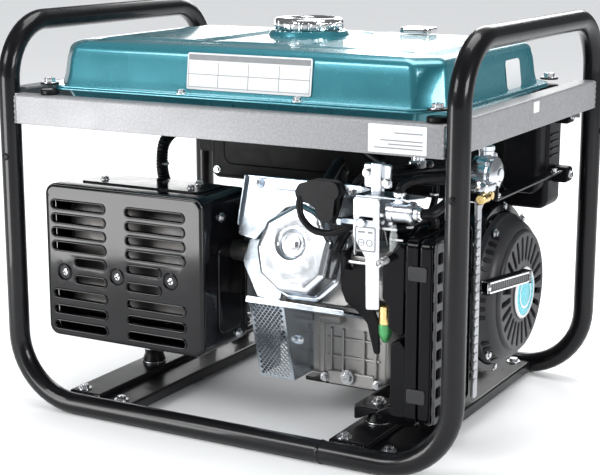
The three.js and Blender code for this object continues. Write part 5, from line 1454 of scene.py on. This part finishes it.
def lead_and_hoses():
    """Hoses follow smooth curves with spring clips at their ends; the output cable wears a ribbed
    conduit."""
    x, s = PLUG
    boot = turned([(9, 0), (10.4, 1.5), (10.4, 5), (8.6, 8), (8.4, 18), (9.6, 21), (8.6, 26), (5, 28)], 32)
    points, faces = boot
    upright = (np.stack([x + points[:, 0], points[:, 2] + 91.8, s - points[:, 1]], 1), faces)
    cap = leaning(upright)
    top = seat(x, 115, s)
    run = [(105, -205, 335), (103, -212, 322), (108, -215, 305), (122, -214, 291), (141, -212, 287),
        (160, -208, 292), (176, -200, 300), (190, -176, 306)]
    lead = hose(run, 4.4, 10)
    sleeve = hose([(150, -206, 296), (162, -204, 300), (176, -200, 304), (192, -190, 306)], 7.6, 10)
    bend = rounded([(100, 330), (106, 341), (122, 346), (150, 346), (152, 339), (146, 331), (143, 306),
        (133, 307), (129, 324), (116, 328)], 5)
    elbow = to_front(slab(bend, 194, 212, 6, 5))
    neck = hose([tuple(top), tuple(top + (0, -8, 9)), (126, -186, 344), (124, -200, 338)], 7, 8)
    build("plug_boot", join(cap, lead, sleeve, elbow, neck), RUBBER, replaces=["spark_plug_lead"])
    route = [(148, -200, 262), (156, -190, 284), (172, -186, 297), (206, -176, 300), (234, -160, 300),
        (248, -148, 304), (256, -146, 303), (257, -146, 293)]
    build("breather_line", hose(route, 6, 10), RUBBER, replaces=["breather_hose"])
    fuel = [(222, -95.6, 362), (223, -82, 360), (228, -78, 338), (230, -92, 308), (226, -118, 290),
        (222, -130, 280), (220, -140, 275)]
    build("fuel_line", hose(fuel, 4.5, 12), RUBBER, replaces=["fuel_hose"])
    clips = [to_back(turned([(4.8, 0), (5.3, 0.3), (5.3, 2.2), (4.8, 2.5)], 20), (222, -88, 361.5)),
        to_top(turned([(4.8, 0), (5.3, 0.3), (5.3, 2.2), (4.8, 2.5)], 20), (229, -85, 322))]
    build("fuel_line_clips", join(*clips), BOLT_ZINC)
    cable = [(-204, -6, 268), (-200, -40, 282), (-190, -76, 304), (-186, -88, 334), (-186, -78, 362),
        (-190, -30, 374), (-196, 60, 374), (-200, 130, 372), (-200, 160, 371), (-200, 177.6, 371)]
    build("output_conduit", hose(cable, 8, 10, 20, 0.07, 4.2), RUBBER, replaces=["output_cable"])
    loom = [(-120, 168, 390), (-60, 120, 384), (0, 60, 378), (60, 0, 376), (110, -70, 376), (150, -110, 372),
        (186, -140, 366)]
    build("front_loom", hose(loom, 7, 12, 16, 0.08, 4.5), RUBBER)
    tie = to_top(turned([(8.4, 0), (9, 0.5), (9, 3), (8.4, 3.5)], 24), (-186, -86, 328))
    build("conduit_tie", tie, LABEL)
    k = Span("fuel_cock")
    x = 222
    stem = to_top(turned([(9, 372), (9, 378), (7, 379), (7, 384), (9, 385), (9, k.z1 - 0.2)], 28),
        (x, -120, 0))
    block = to_top(slab(oblong(214, 230, -134, -112, 3.5, 5), 352, 372, 1.6), (0, 0, 0))
    spout = to_back(turned([(5, 108), (4.2, 110), (4.2, 98), (3.4, 96)][::-1], 20), (x, 0, 362))
    build("cock_body", join(stem, block, spout), BRIGHT_CAST, replaces=["fuel_cock"])
    knob = to_front(turned([(7, 134.4), (7.4, 135), (7.4, 139), (6.4, 140), (1, 140)], 28), (222, 0, 362))
    paddle = to_front(slab(rounded([(192, 357.5), (222, 356), (222, 368), (192, 366.5)], 4), 136.6, 140,
        1.2), (0, 0, 0))
    build("cock_paddle", join(knob, paddle), BLACK_PLASTIC, "cock_lever", ["fuel_cock_lever"])


def regulator():
    """The gas regulator: a spun two-part body with a bolted rim, a ribbed boss and fittings, on a bent
    arm."""
    g = Span("gas_regulator")
    x, y, z = 284, -45, 348
    dome = [(10, 264.4), (18, 266), (23, 269), (23, 276), (27, 277.5), (27, 290), (23, 291.5), (23, 296),
        (17, 300), (9, 301.4), (8, 303.4), (1, 303.8)]
    parts = [to_right(turned(dome, 60), (0, y, z))]
    parts += [to_right(slab(ring(4.6, 18, (y + 24.5 * math.cos(a), z + 24.5 * math.sin(a))), 277, 291, 1))
        for a in around(6, 0.3)]
    parts += [to_top(turned([(10, z + 18), (10, g.z1 - 8), (11, g.z1 - 7), (11, g.z1 - 2), (9, g.z1 - 0.4),
        (1, g.z1 - 0.4)], 32), (x - 2, y, 0)), to_front(turned([(8, 58), (8, 80), (9.4, 81), (9.4, 86),
        (7, 88.6), (1, 88.6)], 28), (x - 2, 0, z - 8)),
        to_top(slab(rounded([(268, -84), (300, -84), (302, -58), (294, -20), (268, -16)], 7), 328, 342, 4))]
    build("regulator_castings", join(*parts), BRIGHT_CAST, replaces=["gas_regulator"])
    caps = [to_right(hex_bolt(6, 291, 3), (0, y + 24.5 * math.cos(a), z + 24.5 * math.sin(a)))
        for a in around(6, 0.3)]
    caps.append(to_top(hex_bolt(14, g.z1 - 4, 4, 9), (x - 2, y, 0)))
    build("regulator_bolts", join(*caps), BOLT_ZINC)
    brass = to_right(join(turned([(7, 290), (7, 296), (5, 297), (5, 303), (1, 303)], 24)), (0, -72, 326))
    pipe = to_back(turned([(5.4, 0), (6.4, 1), (6.4, 20), (5, 21)], 24), (296, -96, 324))
    build("regulator_brass", join(brass, pipe), BRASS)
    arm = rounded([(288, -58), (304, -58), (304, g.y1 - 6), (298, g.y1), (288, g.y1)], 2.5, 3)
    plate = [to_top(slab(arm, 316, 319, 0.7, 2)), to_front(slab(oblong(288, 304, 316.4, 336, 2), 54, 57.4,
        0.7, 2))]
    build("regulator_arm", join(*plate), FRAME_PAINT)
    build("regulator_arm_bolts", join(*[to_top(hex_bolt(9, 319, 4, 7), (296, q, 0)) for q in (-40, 176)]),
        BOLT_ZINC)


SOCKETS = (-20.0, 70.0)
SOCKET_Z = 330.0


def control_box():
    """The box is a moulded cup with soft corners, its rear bulge a rounded block with ribs, its tabs bolted
    on."""
    b = Span("control_box")
    x0, x1, z0, z1 = -275, 285, b.z0, b.z1
    shell = to_back(cup(oblong(-x1, -x0, z0, z1, 14, 8), 178, b.y1 - 0.2, 2.4, 8))
    bulge = to_front(slab(oblong(226, 282, 288, 396, 15, 7), -190, -b.y0, 7, 5))
    ribs = [to_front(slab(oblong(x0 + 26, 206, z0 + 24, z1 - 22, 16, 7), -179, -175.4, 3, 4))]
    ribs += [to_right(slab(oblong(190, 222, z, z + 3, 1.4, 3), x1 - 1, x1 + 1.6, 0.8, 2))
        for z in (336, 346, 356, 366)]
    tabs = [to_front(slab(oblong(u0, u1, v, v + 22, 5), -219, -197, 2)) for v in (300, 384)
        for u0, u1 in ((284, 309), (-309, -274))]
    build("control_shell", join(shell, bulge, *ribs, *tabs), BLACK_PLASTIC, replaces=["control_box"])
    bolts = [facing("right" if u > 0 else "left", hex_bolt(9, 309, 3.2, 6.5), (0, 208, v))
        for v in (311, 395) for u in (-1, 1)]
    bolts += [to_front(hex_bolt(8, -176, 4, 6), (u, 0, v)) for u in (-262, 212) for v in (276, 416)]
    build("control_bolts", join(*bolts), BOLT_ZINC)


def control_panel():
    """The panel is a pierced plate; sockets are turned wells with pin holes, and a framed meter and
    terminals."""
    p = Span("control_panel")
    x0, x1, z0, z1 = -274, 284, p.z0, p.z1
    holes = [ring(19.2, 40, (-x, SOCKET_Z)) for x in SOCKETS] + [oblong(76, 92, 326, 348, 1.5, 3)]
    plate = to_back(pierced(oblong(-x1, -x0, z0, z1, 13, 7), holes, 234, 2.4, 1.0, 0.5, steps=2))
    build("panel_plate", plate, PANEL_PAINT, replaces=["control_panel"])
    wells, faces, pins = [], [], []
    for x in SOCKETS:
        tube = [(19, 219), (24, 219), (24, 233), (26.5, 234.2), (26.5, 237), (24, 240.8), (19.4, 241),
            (19, 239)]
        turn = np.arange(48) / 48 * TAU
        rings = np.array([np.stack([r * np.cos(turn), r * np.sin(turn), np.full(48, float(h))], 1)
            for r, h in tube])
        wells.append(to_back(skin(rings, loop=True), (x, 0, SOCKET_Z)))
        wells.append(to_back(slab(oblong(-16, 16, 22, 27.4, 2), 233, 240, 1), (x, 0, SOCKET_Z)))
        faces.append(to_back(pierced(ring(19.1, 40), [ring(2.6, 14, (-9.5, 0)), ring(2.6, 14, (9.5, 0))],
            222, 3, 0.5, 0.6, 3, steps=2), (x, 0, SOCKET_Z)))
        pins += [to_back(slab(oblong(-3, 3, v - 1.5, v + 1.5, 1, 2), 221, 226, 0.5), (x, 0, SOCKET_Z))
            for v in (-16.5, 16.5)]
    frame_box = pierced(oblong(72, 96, 322, 352, 3), [oblong(76, 92, 326, 348, 1.5)], 238, 4.5, 1.2, 0.6)
    ring_switch = to_back(turned([(15, 234), (15, 235.6), (13, 236.4), (12.4, 235)], 40), (-190, 0, 345))
    build("socket_wells", join(*wells, to_back(frame_box), ring_switch), BLACK_PLASTIC)
    build("socket_faces", join(*faces), BLUE_PLASTIC)
    build("socket_earths", join(*pins), BRASS)
    meter = to_back(pierced(oblong(118, 168, 352, 402, 6), [oblong(123, 163, 357, 397, 3)], 240, 6, 2, 1))
    lamp = to_back(turned([(6, 234), (6, 236), (4.6, 238.6), (1, 239.4)], 28), (-236, 0, 372))
    build("meter_frame", meter, GLOSS_PLASTIC)
    dial = to_back(slab(oblong(123, 163, 357, 397, 3), 233.4, 235.6, 0.3))
    build("meter_dial", dial, LABEL)
    marks = [slab(oblong(-0.5, 0.5, 13, 17, 0.3, 2), 235.4, 236, 0.1, 1) for _ in range(7)]
    marks = [to_back(m, (-143, 0, 370), a) for m, a in zip(marks, np.linspace(-0.9, 0.9, 7))]
    hand = to_back(slab(rounded([(-0.8, 0), (0.8, 0), (0.3, 15), (-0.3, 15)], 0.2, 2), 236, 236.8, 0.1, 1),
        (-143, 0, 370), 0.4)
    build("meter_marks", join(*marks, hand), LABEL_GREY)
    build("warning_lamp", lamp, RED_PLASTIC)
    screws, crosses = [], []
    for x in (x0 + 14, -92, 96, x1 - 14):
        for z in (z0 + 13, z1 - 13):
            dome, cross = pan_screw(4.6, 234, 2.6)
            screws.append(to_back(dome, (x, 0, z), 0.4))
            crosses.append(to_back(cross, (x, 0, z), 0.4))
    post = [to_back(turned([(6, 234), (6, 235.5), (3, 236), (3, 240.8), (1, 240.9)], 24), (x, 0, 290))
        for x in (-236, 180, 210)]
    post += [to_back(slab(hexagon(10), 235.6, 238.6, 0.6, 2), (x, 0, 290)) for x in (-236, 180, 210)]
    build("panel_screws", join(*screws, *post), BOLT_ZINC)
    # The near-black crosses are painted shade standing in for the screws' cross recesses.
    build("panel_screw_recess_shade", join(*crosses), RUBBER, slot="black_plastic")
    bars = [oblong(-60, 14, 384, 388, 1, 2), oblong(-60, -4, 376, 379, 1, 2),
        oblong(-110, 110, 298, 299.2, 0.5, 1), oblong(176, 206, 318, 321, 1, 2)]
    build("panel_print", to_back(join(*[slab(o, 233.9, 234.25, 0.05, 1) for o in bars])), LABEL)

    for side, x in (("left", SOCKETS[0]), ("right", SOCKETS[1])):
        lid = join(turned([(24.6, 241.5), (25.2, 242.2), (25.2, 243.6), (23.5, 244.6), (19, 245.0),
            (17.5, 244.4), (1, 244.4)], 56), slab(rounded([(-12, 16), (12, 16), (12, 31), (-12, 31)], 2),
            241.5, 244.4, 0.7), slab(oblong(-7, 7, -28, -22, 2.5), 241.6, 244, 0.8))
        hinge = to_right(pill(2.3, x - 12, x + 12, 0.5, 20), (0, 243.5, SOCKET_Z + 31))
        build(f"lid_{side}_cover", join(to_back(lid, (x, 0, SOCKET_Z)), hinge), BLUE_PLASTIC, f"lid_{side}",
            [f"socket_lid_{side}"])
    dial = join(turned([(11.6, 234.4), (12, 235), (12, 238), (11, 239), (1, 239)], 40),
        slab(oblong(-3, 3, -10, 10, 2.6, 5), 238, 247, 1.4))
    build("switch_knob", to_back(dial, (-190, 0, 345)), BLACK_PLASTIC, "ignition_switch",
        ["ignition_switch"])
    line = to_back(slab(oblong(-0.8, 0.8, 3, 9, 0.6, 2), 246.6, 247.3, 0.2, 1), (-190, 0, 345))
    build("switch_mark", line, LABEL, "ignition_switch")
    rocker = slab(oblong(78.4, 89.6, 333, 341, 2), 237.2, 246, 1.6)
    build("breaker_toggle", to_back(rocker), BLACK_PLASTIC, "breaker_lever", ["breaker_lever"])
    build("cap_seal", to_top(washer(29.6, 24.4, CAP.z1 - 8.1, CAP.z1 - 6.3, 0.5, 40), (CAP.x, CAP.y, 0)),
        RUBBER, "cap_gasket", ["fuel_cap_gasket"])
    needle = slab(rounded([(-1.2, -3), (1.2, -3), (0.5, 11.4), (-0.5, 11.4)], 0.4, 2), GAUGE.z0 + 4.1,
        GAUGE.z0 + 5.0, 0.2, 2)
    build("gauge_hand", to_top(needle, (GAUGE.x, GAUGE.y, 0)), ORANGE_PLASTIC, "gauge_needle",
        ["fuel_gauge_needle"])
    ridged = turned([(12.6, -186), (14, -184), (14, -174.6), (12.4, -172.6)], 72,
        lambda t: 1 + 0.04 * np.cos(t * 12))
    ridged = to_front(ridged, (122, 0, 84))
    stick = to_back(turned([(3.6, 128.4), (3.9, 129), (3.9, 174)], 16), (122, 0, 84))
    build("dipstick_cap", join(ridged, stick), GREY_PLASTIC, "dipstick", ["oil_dipstick"])


# ---- camera, lights and floor ----

def studio():
    """The floor, a pale room that is bright in the lighting and dim in reflections, soft lights, and the
    camera.
    """
    low = MM * min(LEFT.z0, RIGHT.z0)
    size = 40.0
    mesh = bpy.data.meshes.new("floor")
    mesh.from_pydata([(-size, -size, low), (size, -size, low), (size, size, low), (-size, size, low)], [],
        [(0, 1, 2, 3)])
    mesh.materials.append(ground())
    floor = bpy.data.objects.new("floor", mesh)
    bpy.context.scene.collection.objects.link(floor)

    world = bpy.data.worlds.new("room")
    world.use_nodes = True
    tree = world.node_tree
    sky = tree.nodes["Background"]
    sky.inputs[0].default_value = (0.96, 0.98, 1.0, 1)
    rays = tree.nodes.new("ShaderNodeLightPath")
    dim = tree.nodes.new("ShaderNodeMapRange")
    tree.links.new(rays.outputs["Is Glossy Ray"], dim.inputs[0])
    dim.inputs[3].default_value = 0.85
    dim.inputs[4].default_value = 0.17
    tree.links.new(dim.outputs[0], sky.inputs[1])
    bpy.context.scene.world = world

    lights = [("key", (-1.3, -2.5, 1.9), 1.3, 0.91, 46), ("side", (2.8, -0.9, 1.3), 1.1, 0.77, 46),
              ("over", (0.1, 0.4, 2.4), 1.7, 1.19, 40), ("back", (-0.6, 2.6, 1.6), 1.4, 0.98, 26),
              ("sweep", (-1.6, 2.5, 0.66), 1.5, 0.48, 6.5), ("card", (-0.72, -1.02, 0.24), 0.5, 0.48, 9)]
    for name, place, width, height, power in lights:
        lamp = bpy.data.lights.new(name, "AREA")
        lamp.shape = "RECTANGLE"
        lamp.size, lamp.size_y = width, height
        lamp.energy = power
        made = bpy.data.objects.new(name, lamp)
        made.location = place
        made.rotation_euler = (Vector((0, 0, 0.25)) - Vector(place)).to_track_quat("-Z", "Y").to_euler()
        bpy.context.scene.collection.objects.link(made)
        made.visible_diffuse = name != "card"
        made.visible_camera = name != "card"

    view = bpy.data.cameras.new("camera")
    view.lens, view.sensor_width = LENS, SENSOR
    camera = bpy.data.objects.new("camera", view)
    camera.location = EYE
    camera.rotation_euler = (Vector(AIM) - camera.location).to_track_quat("-Z", "Y").to_euler()
    bpy.context.scene.collection.objects.link(camera)
    bpy.context.scene.camera = camera
    bpy.context.scene.view_settings.view_transform = "Standard"


for make in (
        frame_tubes, tank_bars, cross_rails, tank_shells, tank_fittings, cap_and_gauge, labels,
        muffler_guard, muffler_shield, muffler_can, rocker_cover, head_and_plug, cowls, crankcase,
        outlet_guard, choke_and_carburettor, gas_valve, air_cleaner, blower, recoil, grip,
        alternator, moving_parts, mounts_and_cradle, lead_and_hoses, regulator, control_box,
        control_panel, studio):
    make()
